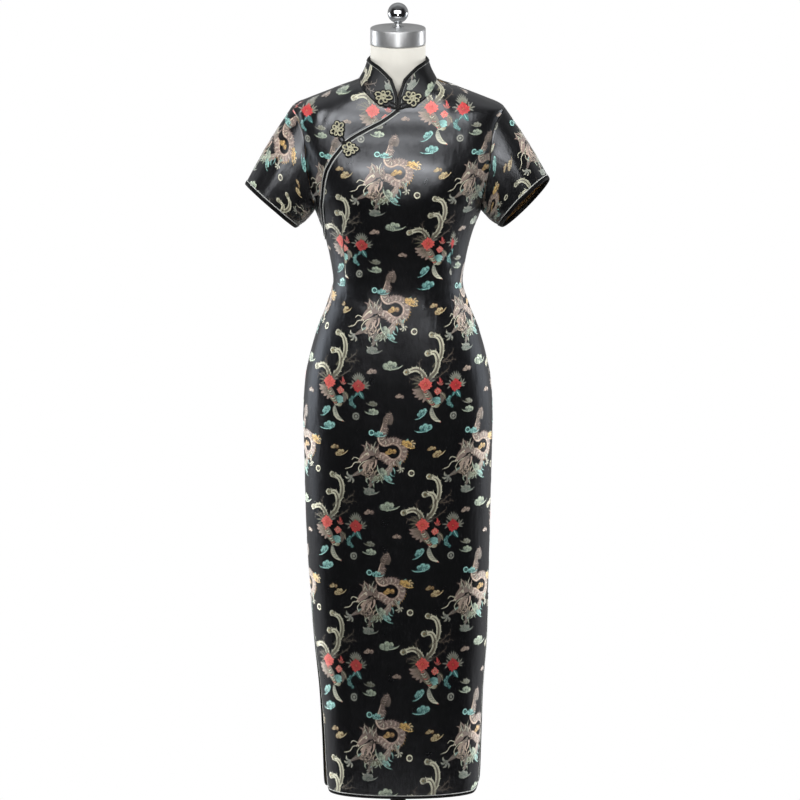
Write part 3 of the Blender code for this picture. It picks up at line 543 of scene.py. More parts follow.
def underlap_grid(lip):
    """The yoke under the placket. Its lip dips under the front, whose second row it follows."""
    line = placket()
    us = np.linspace(0, 1, len(line))
    thirds = np.arange(UNDERLAP_THIRDS) / 3
    steps = np.concatenate([thirds, np.linspace(5, 6, len(line) - UNDERLAP_THIRDS)])
    top = between(shoulder(-1), steps)
    left = side_edge(PLACKET_END, UNDERLAP_SIDE_ROWS, -1, -1)
    right = between(neckline(-1, -1), UNDERLAP_NECK_STEPS)
    vs = level(np.linspace(0, 1, len(left)), len(us))
    yoke = eased(onto(patch(line, top, left, right, us, vs)), UNDERLAP_EASING)
    yoke[:, 0], yoke[:, -1], yoke[0], yoke[-1] = left, right, line, top
    dip = onto(line + UNDERLAP_DIP * (yoke[1] - line))[None]
    grid = np.vstack([lip[None], yoke[:1], dip, yoke[1:]])
    drop = np.zeros(len(grid))
    drop[:2] = LIP_DROP
    direction = normals(grid)
    grid = grid - direction * drop[:, None, None] - np.array([0, SEAM_GAP / 2, 0])
    return grid, direction


def surface_normals(grid, closed):
    """The directions square to a grid of points, for pieces that leave the body's surface."""
    if closed:
        wrapped = np.concatenate([grid[:, -1:], grid, grid[:, :1]], axis=1)
        run = (wrapped[:, 2:] - wrapped[:, :-2]) / 2
    else:
        run = np.gradient(grid, axis=1)
    n = unit(np.cross(run, np.gradient(grid, axis=0)))
    return n * np.sign((n * (grid - grid.mean(1)[:, None])).sum())


def sleeve_grid(outer_x, outer_z, inner_x, inner_z, lift):
    """A sleeve's band, from the armhole out to its oval cuff."""
    sign = math.copysign(1, outer_x)
    halves = armhole(sign, -1), armhole(sign, 1)
    line = np.vstack([halves[0], halves[1][-2:0:-1]])
    body_out = normals(line)
    leave = unit(np.cross(np.roll(line, -1, axis=0) - np.roll(line, 1, axis=0), body_out))
    leave *= np.sign((leave * (line.mean(0) - line)).sum())
    count = len(line)
    low = np.array(ARMHOLE_SHARES) * math.pi - math.pi / 2
    turn = np.concatenate([low, math.pi - low[-2:0:-1]])
    centre = np.array([(outer_x + inner_x) / 2, CUFF_CENTRE_Y, (outer_z + inner_z) / 2])
    up = np.array([outer_x - inner_x, 0, outer_z - inner_z]) / 2
    down = np.array([up[2] * sign, 0, -up[0] * sign]) / np.linalg.norm(up)
    forward = np.array([0, -CUFF_HALF_DEPTH, 0]) - down * lift
    end = centre + np.sin(turn)[:, None] * up + np.cos(turn)[:, None] * forward
    start = line + leave * SEW_GAP
    last = 1 - BINDING_WIDTH / np.linalg.norm(end - start, axis=1)
    t = np.vstack([np.linspace(0, 1, SLEEVE_ROWS)[:, None] * last, np.ones((1, count))])[:, :, None]
    swell = unit(line - line.mean(0))
    grid = start * (1 - t) + end * t + swell * SLEEVE_FULLNESS * np.sin(math.pi * t)
    direction = surface_normals(grid, True)
    grid[0], direction[0] = sewn(line, body_out, leave, direction[0])
    return grid, direction


def collar_grid():
    """The collar's band, from its end at +X back over -X and the nape."""
    quarters = [neckline(-1, -1), neckline(-1, 1)[::-1], neckline(1, 1), neckline(1, -1)[::-1]]
    line = np.vstack([quarters[0], *(q[1:] for q in quarters[1:])])
    steps = np.arange(len(line), dtype=float)
    steps = np.insert(steps, (1, len(line) - 1), (COLLAR_END, len(line) - 1 - COLLAR_END))
    body_out = between(normals(line), steps)
    line = between(line, steps)
    leave = outward(line, body_out, line + np.array([0, 0, -0.1]))

    edge = path(COLLAR_TOP_EDGE)
    run = lengths_to(COLLAR_TOP_EDGE)
    side = run[COLLAR_SIDE_ROW] / run[-1]
    half = steps[: len(steps) // 2 + 1] / NECK_STEPS
    shares = np.where(half < 1, half * side, side + (half - 1) * (1 - side))
    quarter = edge(shares)
    top = np.vstack([quarter * [-1, 1, 1], quarter[-2::-1]])

    us = steps / steps[-1]
    bottom = line + leave * SEW_GAP + body_out * SEW_LIFT
    bottom[0, 0], bottom[-1, 0] = -COLLAR_GAP, COLLAR_GAP
    height = np.linalg.norm(top - bottom, axis=1)
    vs = level(np.linspace(0, 1, COLLAR_ROWS + 1), len(us)) * (1 - BINDING_WIDTH / height)
    vs = np.vstack([vs, np.ones((1, len(us)))])
    front = path([bottom[-1], *COLLAR_FRONT_EDGE, COLLAR_TOP_EDGE[0]])(vs[:, -1])
    grid = patch(bottom, top, front * [-1, 1, 1], front, us, vs)
    direction = surface_normals(grid, False)
    direction[0] = sewn(line, body_out, leave, direction[0])[1]
    return grid, direction


# The fine cloth
CLOTH_STEP = 0.0048
CLOTH_THICK = 0.0010
SETTLE_REACH = 0.040  # above the slits, where the cloth comes to lie on the body's surface
WRAP = 3  # columns that a closed piece is read past its ends, to stay smooth there
EDGE_REACH = 2  # rows or columns in from an edge, which tell its inward direction
FACING_STEP = 37  # one point in so many tells which way a piece's faces look
CREASE_POINTS = 25
CREASE_FADE = 0.7

# The grain, which the woven figures follow. Columns: height, and cloth eased or taken in.
GRAIN_LEVELS = (-0.02, 1.36, 231)  # the heights it is measured at: lowest, highest, how many
GRAIN_X = 0.060  # where the cloth's length up its grain is measured
GRAIN_EASE = ((0.0, 0.0175), (0.25, 0.0), (1.03, 0.0), (1.27, -0.003))
GRAIN_LEAN = 0.02  # across for each metre up
GRAIN_LEVEL = 0.80
DART_X = 0.105
DART_INTAKE = ((0.840, 0.0), (0.930, 0.014), (1.010, 0.016), (1.090, 0.0))

# Creases of the body. Columns: side, x and height of the start, the middle and the end, width, depth.
CREASES = (
    (-1, -0.112, 0.905, -0.085, 0.915, -0.050, 0.902, 0.008, -0.0016),
    (-1, -0.108, 0.945, -0.080, 0.950, -0.045, 0.962, 0.009, 0.0016),
    (-1, 0.112, 0.900, 0.084, 0.912, 0.048, 0.905, 0.008, -0.0016),
    (-1, 0.108, 0.938, 0.082, 0.948, 0.052, 0.950, 0.010, 0.0015),
    (-1, 0.118, 0.975, 0.100, 0.978, 0.080, 0.990, 0.007, -0.0020),
    (-1, 0.150, 1.060, 0.128, 1.085, 0.098, 1.098, 0.010, 0.0020),
    (-1, -0.148, 1.062, -0.130, 1.090, -0.100, 1.104, 0.011, 0.0018),
    (-1, 0.176, 1.185, 0.150, 1.160, 0.122, 1.150, 0.012, -0.0020),
    (-1, -0.176, 1.185, -0.156, 1.170, -0.140, 1.160, 0.010, -0.0016),
    (-1, 0.070, 1.292, 0.084, 1.262, 0.090, 1.228, 0.011, 0.0013),
    (1, -0.112, 0.905, -0.075, 0.918, -0.030, 0.910, 0.009, -0.0020),
    (1, 0.112, 0.915, 0.070, 0.925, 0.020, 0.915, 0.009, -0.0020),
    (1, -0.110, 0.950, -0.070, 0.948, -0.028, 0.960, 0.010, 0.0020),
    (1, 0.108, 0.955, 0.060, 0.960, 0.015, 0.950, 0.011, 0.0018),
    (1, -0.150, 1.090, -0.110, 1.120, -0.075, 1.130, 0.012, 0.0020),
    (1, 0.150, 1.085, 0.112, 1.112, 0.070, 1.128, 0.012, 0.0018),
)

# Creases of the sleeves. Columns: x, y and height of both ends, width, depth.
SLEEVE_CREASES = (
    (0.188, -0.048, 1.150, 0.224, -0.048, 1.062, 0.009, -0.0020),
    (0.196, -0.046, 1.175, 0.240, -0.046, 1.085, 0.009, 0.0016),
    (0.180, -0.042, 1.095, 0.204, -0.045, 1.050, 0.007, 0.0018),
    (-0.186, -0.048, 1.155, -0.222, -0.048, 1.060, 0.009, -0.0020),
    (-0.196, -0.046, 1.180, -0.242, -0.046, 1.080, 0.009, 0.0016),
    (-0.178, -0.042, 1.098, -0.202, -0.045, 1.048, 0.007, 0.0018),
    (0.186, 0.046, 1.150, 0.222, 0.042, 1.070, 0.010, -0.0020),
    (-0.186, 0.046, 1.150, -0.222, 0.042, 1.066, 0.010, -0.0020),
)

# Long soft waves down the skirt. Columns: side, x, lowest and highest, width, depth, drift.
SOFT_WAVES = (
    (-1, -0.092, 0.02, 0.86, 0.026, -0.0030, 0.012),
    (-1, 0.098, 0.05, 0.84, 0.024, -0.0028, -0.010),
    (-1, -0.030, 0.02, 0.70, 0.034, 0.0022, -0.008),
    (-1, 0.040, 0.10, 0.62, 0.030, -0.0016, 0.010),
    (1, -0.085, 0.02, 0.80, 0.030, -0.0034, 0.014),
    (1, 0.090, 0.04, 0.82, 0.028, -0.0032, -0.012),
    (1, 0.010, 0.03, 0.68, 0.036, 0.0026, 0.006),
)

# How the woven figures lie on the cloth
REPEAT_WIDTH = 0.1785
REPEAT_HEIGHT = 0.2575
FIGURE_ORIGIN = (0.0500, -0.0075)  # the large peony's heart: across from the centre line, up the grain
FIGURE_LIFT = 0.00022  # the first stroke above the cloth
FIGURE_STEP = 0.00020  # the last stroke above the first
FIGURE_SNAP = 0.004  # how far past the cloth's edge a stroke may reach before it is cut
FADED_SHARE = 0.82  # every other column of figures is woven in duller threads
FADED_TONE = (0.010, 0.014, 0.010)

# The drawing of the figures, in millimetres from the large peony's heart
STROKE_STEP = 2.6  # between the points along a stroke
STROKE_ACROSS = 4.2  # and across it
CURL_END = 0.22  # how far in a curl winds, as a share of its radius
SPRAY_SPREAD = 95  # degrees
PEONY_PETALS = 13
PEONY_TIP = ((-0.18, 0.86), (0, 0.97), (0.18, 0.86))  # a petal's edge: to the side in radians, outwards
TWIG_SHOOT = 5.0

# The clouds' lobes, as shares of a cloud's size. Columns: x, y, radius.
CLOUD_LOBES = ((-0.34, 0.12, 0.30), (0.10, 0.24, 0.36), (0.60, 0.10, 0.34), (0.16, -0.20, 0.26))
SMALL_CLOUD_LOBES = ((-0.05, 0.18, 0.40), (0.52, 0.02, 0.38))

# Columns: x, y, radius, then the threads of the hollows, the petals and their edges
PEONIES = (
    (0.0, -1.0, 11.4, "red", "coral", "coral"),
    (57.5, -5.0, 11.0, "crimson", "red", "red"),
    (23.0, -14.0, 6.5, "red", "coral", "pink_cream"),
)

# Columns: x, y, length, direction, leaves, width, threads
SPRAYS = (
    (-4, 0, 24, 155, 5, 3.0, "brown", "olive"),
    (4, 4, 20, 60, 4, 2.6, "brown", "grey"),
    (57, 0, 22, 92, 8, 3.2, "olive", "grey"),
    (66, -4, 15, 25, 4, 3.0, "olive", "grey"),
    (50, -4, 14, 170, 3, 3.0, "brown", "grey"),
    (-5, -10, 17, 215, 3, 3.4, "mauve", "brown"),
    (26, -4, 12, 75, 4, 2.2, "brown", "coral"),
)

# Columns: points, width, threads of the leaf and its vein
LEAVES = (
    (((59, -14), (63, -21), (68, -28)), 9.0, "teal", "pale_teal"),
    (((57, -14), (54, -20), (50, -25)), 6.0, "teal", "pale_teal"),
    (((29, -14), (32, -26), (30, -38)), 8.0, "mauve", "olive"),
    (((26, -16), (35, -22), (38, -31)), 6.0, "olive", "pink_cream"),
    (((26, 0), (28, 5), (26, 11)), 4.0, "crimson", "coral"),
)

# Columns: kind, x, y, size, turn, side, threads
CLOUDS = (
    ("cloud", -6, -54, 13.0, 35, 1, "teal", "pale_teal"),
    ("cloud", 0, -81, 15.5, 6, 1, "teal", "pale_teal"),
    ("small", 45, -31, 10.0, 70, 1, "teal", "pale_teal"),
    ("small", 47, -40, 9.0, -35, 1, "teal", "pale_teal"),
    ("cloud", 84, -36, 10.0, -15, 1, "olive", "grey"),
    ("cloud", -94, -51, 12.0, -10, 1, "slate", "green_cream"),
    ("small", -46, -22, 9.5, -8, 1, "mauve", "pink_cream"),
    ("small", 14, 139, 9.5, 4, 1, "gold_brown", "straw"),
    ("cloud", 26, 129, 12.0, 28, -1, "gold_brown", "straw"),
    ("cloud", -62, 33, 17.0, 10, -1, "slate", "green_cream"),
    ("small", -97, 22, 11.0, 4, 1, "mauve", "pink_cream"),
    ("small", -60, 134, 12.5, 8, 1, "gold_brown", "gold"),
    ("cloud", -30, 148, 13.0, -18, -1, "gold_brown", "gold"),
    ("cloud", -81, 166, 11.0, 6, -1, "teal", "pale_teal"),
    ("cloud", -74, 96, 14.0, -64, 1, "slate", "green_cream"),
    ("cloud", -63, 84, 11.0, -30, -1, "slate", "pale_teal"),
    ("small", -84, 85, 11.0, 16, 1, "olive", "green_cream"),
    ("cloud", -95, 60, 13.5, 12, -1, "slate", "grey"),
    ("small", -106, 92, 11.0, -30, 1, "brown", "pink_cream"),
)

# Columns: x, y, radius, threads
RINGS = (
    (54, -60, 5.6, "grey", "grey"),
    (-22, 95, 5.0, "brown", "cream"),
    (-95, 169, 4.4, "teal", "pale_teal"),
)

PHOENIX_BACK = ((-3, -6), (2, -18), (10, -31), (17, -42))
PHOENIX_LEFT_WING = ((-24, -9), (-23, -16), (-19, -23), (-12, -28), (-4, -33))
PHOENIX_RIGHT_WING = ((30, -30), (29, -35), (26, -40))
PHOENIX_NECK = ((12, -42), (13, -54), (19, -64), (31, -71))
# Columns: points, width
PHOENIX_TAIL = (
    (((12, 30), (27, 46), (30, 66), (24, 82), (10, 88)), 9.0),
    (((3, 8), (17, 20), (23, 38), (17, 55), (3, 55)), 9.5),
    (((-1, 7), (-5, 19), (-17, 27), (-35, 22)), 9.0),
)
# Columns: points, and which side its first shoot is on
TWIGS = (
    (((10, 7), (24, 12), (44, 26)), 1),
    (((26, 38), (38, 43), (53, 56)), 1),
    (((-5, 8), (-11, 24), (-11, 42)), -1),
    (((-8, 10), (-18, 12), (-28, 8)), 1),
    (((30, 40), (42, 38), (54, 42)), -1),
)

DRAGON_BODY = (
    (-70, 186), (-74, 172), (-78, 159), (-71, 150), (-58, 154), (-45, 150), (-37, 138), (-40, 124),
    (-51, 116), (-63, 118), (-74, 127), (-88, 128),
)
DRAGON_STEPS = 44  # scales, and tufts of its crest
DRAGON_GILT = range(25, 34)  # the steps whose tufts are gold
DRAGON_TAIL = ((-70, 182), (-68, 194), (-62, 206))
DRAGON_FLAME = ((-72, 180), (-69, 184), (-66, 186), (-63, 184), (-73, 174))
# Columns: root, knee, foot, size of the foot, direction, threads
DRAGON_LEGS = (
    ((-88, 126), (-99, 106), (-92, 88), 9.0, 280, "pink_cream"),
    ((-96, 104), (-114, 96), (-132, 86), 12.0, 220, "grey"),
    ((-50, 120), (-45, 112), (-42, 103), 8.0, 290, "cream"),
    ((-90, 96), (-92, 80), (-98, 66), 10.0, 260, "grey"),
    ((-42, 146), (-34, 152), (-24, 148), 9.0, 350, "gold"),
)
DRAGON_FLANK = ((-58, 114), (-62, 101), (-73, 91), (-88, 84), (-98, 86))
DRAGON_RUFF = ((-66, 96), (-72, 91), (-79, 88), (-86, 84), (-93, 84), (-99, 88))
# Columns: roots, direction, length, width, threads
DRAGON_TUFTS = (
    (DRAGON_RUFF, (-0.35, -1), 16, 4.6, "slate", "green_cream"),
    (((-74, 104), (-82, 102), (-90, 100), (-98, 100)), (-0.6, -1), 17, 4.2, "olive", "pink_cream"),
    (((-104, 104), (-110, 101), (-116, 98)), (-0.9, -0.7), 14, 3.6, "brown", "grey"),
    (((-56, 106), (-60, 98)), (0.5, -1), 13, 3.6, "slate", "pale_teal"),
)
DRAGON_MANE = ((-84, 126), (-88, 130), (-92, 133), (-97, 135), (-102, 135), (-106, 133), (-80, 130))
DRAGON_BEARD = ((-86, 120), (-91, 116), (-97, 113), (-103, 111), (-108, 109))
DRAGON_HORNS = (((-98, 134), (-103, 144), (-104, 154)), ((-90, 133), (-90, 145), (-86, 154)))
DRAGON_WHISKERS = (
    ((-116, 114), (-126, 112), (-132, 104), (-144, 100)),
    ((-114, 110), (-118, 102), (-114, 94)),
    ((-116, 119), (-126, 122), (-131, 117)),
)
DRAGON_SNOUT = ((-88, 128), (-98, 132), (-108, 124), (-119, 112))
DRAGON_JAW = ((-94, 121), (-103, 113), (-112, 106))

# Where the large peony's heart lies on the smaller pieces. Columns: across, and up.
PIECE_ORIGINS = {
    "underlap": (0.1240, -0.0135),
    "sleeve_left": (0.1040, -0.0250),
    "sleeve_right": (0.0770, -0.0450),
    "collar": (-0.2545, -0.0300),
}

# A binding's section round the cloth's edge. Columns: inwards as a share of its width, upwards.
BINDING_ROLL = (
    (1.00, 0.0001),
    (0.98, 0.0008),
    (0.80, 0.0012),
    (0.40, 0.0013),
    (0.08, 0.0010),
    (-0.10, 0.0003),
    (-0.14, -0.0006),
    (-0.06, -0.0016),
    (0.25, -0.0021),
    (0.80, -0.0019),
    (0.96, -0.0012),
)
# The bindings' widths
HEM_BAND = 0.0050
CUFF_BAND = 0.0075
COLLAR_BAND = 0.0055
PLACKET_BAND = 0.0082

# Lines of cord along the bindings, pale as a painted highlight on black satin. Columns: inwards as a share
# of the binding's width, upwards, radius.
HEM_HIGHLIGHT_PIPING = ((1.02, 0.0005, 0.00075),)
CUFF_HIGHLIGHT_PIPING = ((0.95, 0.0007, 0.00080),)
COLLAR_HIGHLIGHT_PIPING = ((1.00, 0.0004, 0.00045),)
PLACKET_HIGHLIGHT_PIPING = ((0.98, 0.0008, 0.00115), (0.02, 0.0011, 0.00085))

# The frog buttons' flowers. Columns: node, x, height, reach across, reach up, turn, side.
FROGS = (
    ("frog_collar_left", -0.0262, 1.2765, 0.0200, 0.0165, 10.0, 1),
    ("frog_collar_right", 0.0255, 1.2740, 0.0200, 0.0170, 20.0, -1),
    ("frog_chest_upper", -0.1070, 1.2200, 0.0165, 0.0180, 70.0, 1),
    ("frog_chest_lower", -0.0850, 1.1880, 0.0185, 0.0160, 40.0, -1),
)
CORD_SIDES = 8
FROG_CORD = 0.0013
FROG_BACK_CORD = 0.0030
FROG_BACK_FLAT = 0.4  # its thickness as a share of its width
FROG_BACK_SIZE = 1.04  # times the size of the flower
FROG_LIFT = 0.0028
FROG_STEP = 0.0004  # from one height of the petals to the next, of three
FROG_PETALS = 7
FROG_PETAL_LENGTH = 0.84
FROG_UNEVEN = 0.18  # how much longer and shorter its petals are by turns
FROG_HOOK = (0.35, 235.0, 1.9)  # a petal's first turn in radians, its sweep in degrees, its tightening
FROG_HEART = 0.30
FROG_COIL = 1.9  # turns
# Columns: node, x, height, then the places that its loops reach for
KNOT_PLACES = (
    ("knot_collar", 0.0, 1.2570, (-0.0190, 1.2680), (0.0190, 1.2665)),
    ("knot_chest", -0.0975, 1.1995, (-0.1040, 1.2110), (-0.0880, 1.1930)),
)
KNOT_LOOP = 0.0026  # half the width of a loop
KNOT_CORD = 0.0019
KNOT_LIFT = 0.0012  # of a loop's ends
KNOT_ARCH = 0.0008  # of its middle above them
KNOT_CORE = 0.86  # shares of the knot's radius, for its ball, its wraps and their cord
KNOT_WRAP = 0.84
KNOT_WRAP_CORD = 0.24
KNOT_WRAPS = 3
KNOT_TILT = 62  # of each wrap from the cloth, in degrees

FORM_FINE_SIDES = 128
FORM_FINE_STEP = 0.009

VIEW_CENTRE = (0.0036, 0.0, 0.8645)
VIEW_HEIGHT = 1.437
FLOOR_DROP = 0.0005  # the floor below the base
# Columns: x, y, width, and power as times the cap's setting
CAP_LIGHTS = ((-1.1, 0.5, 0.2, 1.5), (0.0, -0.9, 0.14, 1.0), (1.1, 0.5, 0.2, 1.5))


# Fine cloth


def catmull(values, places):
    """A smooth curve through evenly numbered values, read at the places."""
    values = np.asarray(values, float)
    places = np.clip(np.asarray(places, float), 0, len(values) - 1)
    rate = np.gradient(values, axis=0)
    i = np.minimum(places.astype(int), len(values) - 2)
    t = (places - i).reshape(-1, *[1] * (values.ndim - 1))
    return eased_between(values[i], values[i + 1], rate[i], rate[i + 1], t)


def finer(grid, direction, step, closed=False):
    """The grid and its directions with no two neighbours further apart than a step."""
    both = np.concatenate([grid, direction], axis=2)
    width = grid.shape[1]
    if closed:
        both = np.concatenate([both[:, -WRAP:], both, both[:, : WRAP + 1]], axis=1)
    for axis in (0, 1):
        both = np.moveaxis(both, axis, 0)
        gaps = np.linalg.norm(np.diff(both[:, :, :3], axis=0), axis=2).max(axis=1)
        counts = np.maximum(np.ceil(gaps / step), 1).astype(int)
        places = np.array([i + k / n for i, n in enumerate(counts) for k in range(n)])
        places = np.append(places, len(counts))
        if closed and axis == 1:
            places = places[(places >= WRAP) & (places <= WRAP + width)]
        both = np.moveaxis(catmull(both, places), 0, axis)
    return both[:, :, :3], unit(both[:, :, 3:])


@functools.lru_cache(maxsize=None)
def crease_paths():
    """The creases as runs of points on the body and the sleeves."""
    found = []
    for side, x0, z0, x1, z1, x2, z2, width, depth in CREASES:
        turn = np.linspace(0, 1, CREASE_POINTS)
        xs = catmull([x0, x1, x2], turn * 2)
        zs = catmull([z0, z1, z2], turn * 2)
        line = at_height(xs, zs, side)
        found.append((line, turn, width, depth))
    for x0, y0, z0, x1, y1, z1, width, depth in SLEEVE_CREASES:
        turn = np.linspace(0, 1, CREASE_POINTS)
        line = (1 - turn[:, None]) * np.array([x0, y0, z0]) + turn[:, None] * np.array([x1, y1, z1])
        found.append((line, turn, width, depth))
    return found


def creased(points):
    """How far the cloth stands out at the points, through its creases and soft waves."""
    shape = points.shape[:-1]
    p = points.reshape(-1, 3)
    out = np.zeros(len(p))
    for line, turn, width, depth in crease_paths():
        near = ((p > line.min(0) - 3 * width) & (p < line.max(0) + 3 * width)).all(1)
        if not near.any():
            continue
        away = np.linalg.norm(p[near][:, None] - line[None], axis=2)
        best = away.argmin(axis=1)
        fade = np.sin(math.pi * np.clip(turn[best], 0, 1)) ** CREASE_FADE
        out[near] += depth * fade * np.exp(-((away.min(axis=1) / width) ** 2))
    for side, x, z0, z1, width, depth, drift in SOFT_WAVES:
        lean = x + drift * (p[:, 2] - z0)
        along_wave = np.clip((p[:, 2] - z0) / (z1 - z0), 0, 1)
        here = np.exp(-(((p[:, 0] - lean) / width) ** 2)) * np.sin(math.pi * along_wave)
        out += depth * here * (np.sign(p[:, 1]) == side)
    return out.reshape(shape)


@functools.lru_cache(maxsize=None)
def arc_tables(side):
    """The cloth's length across a section and up its front, to lay the woven figures by."""
    levels = np.linspace(*GRAIN_LEVELS)
    turn = np.linspace(0, math.pi / 2, 91)
    arcs = np.zeros((len(levels), len(turn)))
    for k, z in enumerate(levels):
        width, front, back, square, _ = sections([z])[0]
        x = width * np.sin(turn) ** (2 / square)
        depth = front + bust(x, z) if side < 0 else back
        y = depth * np.cos(turn) ** (2 / square)
        arcs[k] = lengths_to(np.stack([x, y], axis=1))
    depths = at_height(np.full(len(levels), GRAIN_X), levels, side)[:, 1]
    rise = lengths_to(np.stack([levels, depths], axis=1))
    return levels, turn, arcs, rise - np.interp(0, levels, rise)


def flat_places(points, side):
    """Where points of the body lie on the flat cloth: across from its centre, and up its grain."""
    levels, turn, arcs, rise = arc_tables(side)
    p = points.reshape(-1, 3)
    width, _, _, square, lean = sections(p[:, 2]).T
    share = np.clip(np.abs(p[:, 0] - lean) / width, 0, 1)
    angle = np.arcsin(np.clip(share ** (square / 2), 0, 1))
    row = np.clip((p[:, 2] - levels[0]) / (levels[1] - levels[0]), 0, len(levels) - 1.001)
    column = np.clip(angle / (turn[1] - turn[0]), 0, len(turn) - 1.001)
    i, j = row.astype(int), column.astype(int)
    f, g = row - i, column - j
    low = arcs[i, j] * (1 - g) + arcs[i, j + 1] * g
    high = arcs[i + 1, j] * (1 - g) + arcs[i + 1, j + 1] * g
    across_cloth = low * (1 - f) + high * f
    intake = np.interp(p[:, 2], *zip(*DART_INTAKE))
    across_cloth += intake * (across_cloth > DART_X)
    across_cloth *= -side * np.sign(p[:, 0] - lean)
    up = np.interp(p[:, 2], levels, rise) + np.interp(p[:, 2], *zip(*GRAIN_EASE))
    across_cloth += GRAIN_LEAN * (GRAIN_LEVEL - up)
    return np.stack([across_cloth, up], axis=1).reshape(*points.shape[:-1], 2)


def tube_places(grid, out, middle, sign):
    """Flat places on a grid that leaves the body: round from a middle column, and along its rows."""
    row = grid[len(grid) // 2]
    run = lengths_to(row)
    rise = lengths_to(grid[:, middle]) * sign
    flat = np.zeros((*grid.shape[:2], 2))
    flat[:, :, 0] = run - run[middle]
    flat[:, :, 1] = (rise - rise.min())[:, None]
    turn = np.cross(grid[0, middle + 1] - grid[0, middle], (grid[1, middle] - grid[0, middle]) * sign)
    flat[:, :, 0] *= np.sign(np.dot(turn, out[0, middle]))
    return flat


@functools.lru_cache(maxsize=None)
def cloth():
    """Each piece of brocade: its fine grid, directions and flat places."""
    made = {}
    front = front_grid()
    underlap = underlap_grid(under_front(front[0]) + [0, SEAM_GAP / 2, 0])
    for name, side, coarse in (("front", -1, front), ("back", 1, back_grid()), ("underlap", -1, underlap)):
        grid, out = finer(*coarse, CLOTH_STEP)
        if name != "underlap":
            seam = np.array([0, side * SEAM_GAP / 2, 0])
            inner = grid[1:-1, 1:-1]
            settled = onto(inner - seam) + seam
            high = np.clip((inner[:, :, 2] - SLIT_TOP) / SETTLE_REACH, 0, 1)[:, :, None]
            grid[1:-1, 1:-1] = inner * (1 - high) + settled * high
            out = normals(grid - seam)
        made[name] = grid, out, flat_places(grid, side)
    for side, *cuff in CUFFS:
        grid, out = finer(*sleeve_grid(*cuff), CLOTH_STEP, True)
        middle = int(np.argmax(grid[0, :, 2]))
        made[f"sleeve_{side}"] = grid, out, tube_places(grid, out, middle, -1)
    grid, out = finer(*collar_grid(), CLOTH_STEP)
    made["collar"] = grid, out, tube_places(grid, out, grid.shape[1] // 2, 1)
    for name, (grid, out, flat) in made.items():
        grid = grid + out * creased(grid)[:, :, None]
        made[name] = grid + np.array([0, 0, HEM_HEIGHT]), out, flat
    return made


# Objects


def finished(name, bm, surfaces, smooth, node=None):
    """The object of a mesh. Edges sharper than smooth, in degrees, stay sharp."""
    mesh = bpy.data.meshes.new(name)
    bm.to_mesh(mesh)
    bm.free()
    mesh.shade_smooth()
    mesh.set_sharp_from_angle(angle=math.radians(smooth))
    for surface in surfaces:
        mesh.materials.append(finish(surface))
    o = bpy.data.objects.new(name, mesh)
    bpy.context.collection.objects.link(o)
    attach(o, "root")
    if node:
        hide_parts(node)
    return o


def grid_mesh(bm, points, uvs=None):
    """A grid in a bmesh, moved to the points. Returns its vertices in the points' order."""
    rows, width = points.shape[:2]
    made = bmesh.ops.create_grid(bm, x_segments=width - 1, y_segments=rows - 1, size=1)["verts"]
    for vert, place in zip(made, points.reshape(-1, 3)):
        vert.co = place
    if uvs is not None:
        layer = bm.loops.layers.uv.verify()
        flat = uvs.reshape(-1, 2)
        where = {vert: k for k, vert in enumerate(made)}
        for vert in made:
            for loop in vert.link_loops:
                loop[layer].uv = flat[where[vert]]
    return made


def cloth_piece(name, node, ground="ground", closed=False):
    """A piece of brocade as a thin shell, with its inside in a second finish."""
    grid, out, places = cloth()[name]
    bm = bmesh.new()
    made = grid_mesh(bm, grid, places)
    bm.normal_update()
    sample = zip(made[::FACING_STEP], out.reshape(-1, 3)[::FACING_STEP])
    facing = sum(v.normal.dot(Vector(n)) for v, n in sample)
    if facing < 0:
        bmesh.ops.reverse_faces(bm, faces=bm.faces)
    if closed:
        bmesh.ops.remove_doubles(bm, verts=bm.verts, dist=1e-6)
    o = finished(f"{node}_cloth", bm, [ground, "reverse"], 60, node)
    wall = o.modifiers.new("wall", "SOLIDIFY")
    wall.thickness = CLOTH_THICK
    wall.offset = -1
    wall.material_offset = 1
    wall.use_quality_normals = True
    return o


def ways(line, closed):
    """The way that a run of points goes at each of them."""
    return np.roll(line, -1, 0) - np.roll(line, 1, 0) if closed else np.gradient(line, axis=0)


def tube(bm, line, radius, closed=False, squash=1.0, ups=None):
    """A round cord along a line of points. Its two ends are closed."""
    line = np.asarray(line, float)
    run = unit(ways(line, closed))
    if ups is None:
        up = np.array([0, 0, 1] if abs(run[0][2]) < 0.9 else [0, 1, 0])
        ups = np.zeros_like(line)
        for k, direction in enumerate(run):
            up = unit(up - direction * np.dot(up, direction))
            ups[k] = up
    else:
        ups = unit(ups - run * (run * ups).sum(1)[:, None])
    side = np.cross(run, ups)
    turn = np.linspace(0, math.tau, CORD_SIDES + 1)
    radius = np.broadcast_to(np.asarray(radius, float), len(line))
    ring = side[:, None] * np.cos(turn)[None, :, None]
    ring = ring + ups[:, None] * np.sin(turn)[None, :, None] * squash
    points = line[:, None] + ring * radius[:, None, None]
    if closed:
        points = np.concatenate([points, points[:1]])
    close_up(bm, grid_mesh(bm, points, lengths(points)))


def lengths(points):
    """Flat places on a long strip of points: along it and round it, in metres."""
    flat = np.zeros((*points.shape[:2], 2))
    flat[:, :, 0] = lengths_to(points[:, 0])[:, None]
    flat[:, :, 1] = lengths_to(points[0])
    return flat


def close_up(bm, made):
    """Joins a strip's meeting edges, closes its ends and turns its faces outwards."""
    bmesh.ops.remove_doubles(bm, verts=made, dist=1e-7)
    rest = [v for v in made if v.is_valid]
    rims = [e for e in {e for v in rest for e in v.link_edges} if e.is_boundary]
    if rims:
        bmesh.ops.holes_fill(bm, edges=rims, sides=0)
    bmesh.ops.recalc_face_normals(bm, faces=list({f for v in rest for f in v.link_faces}))


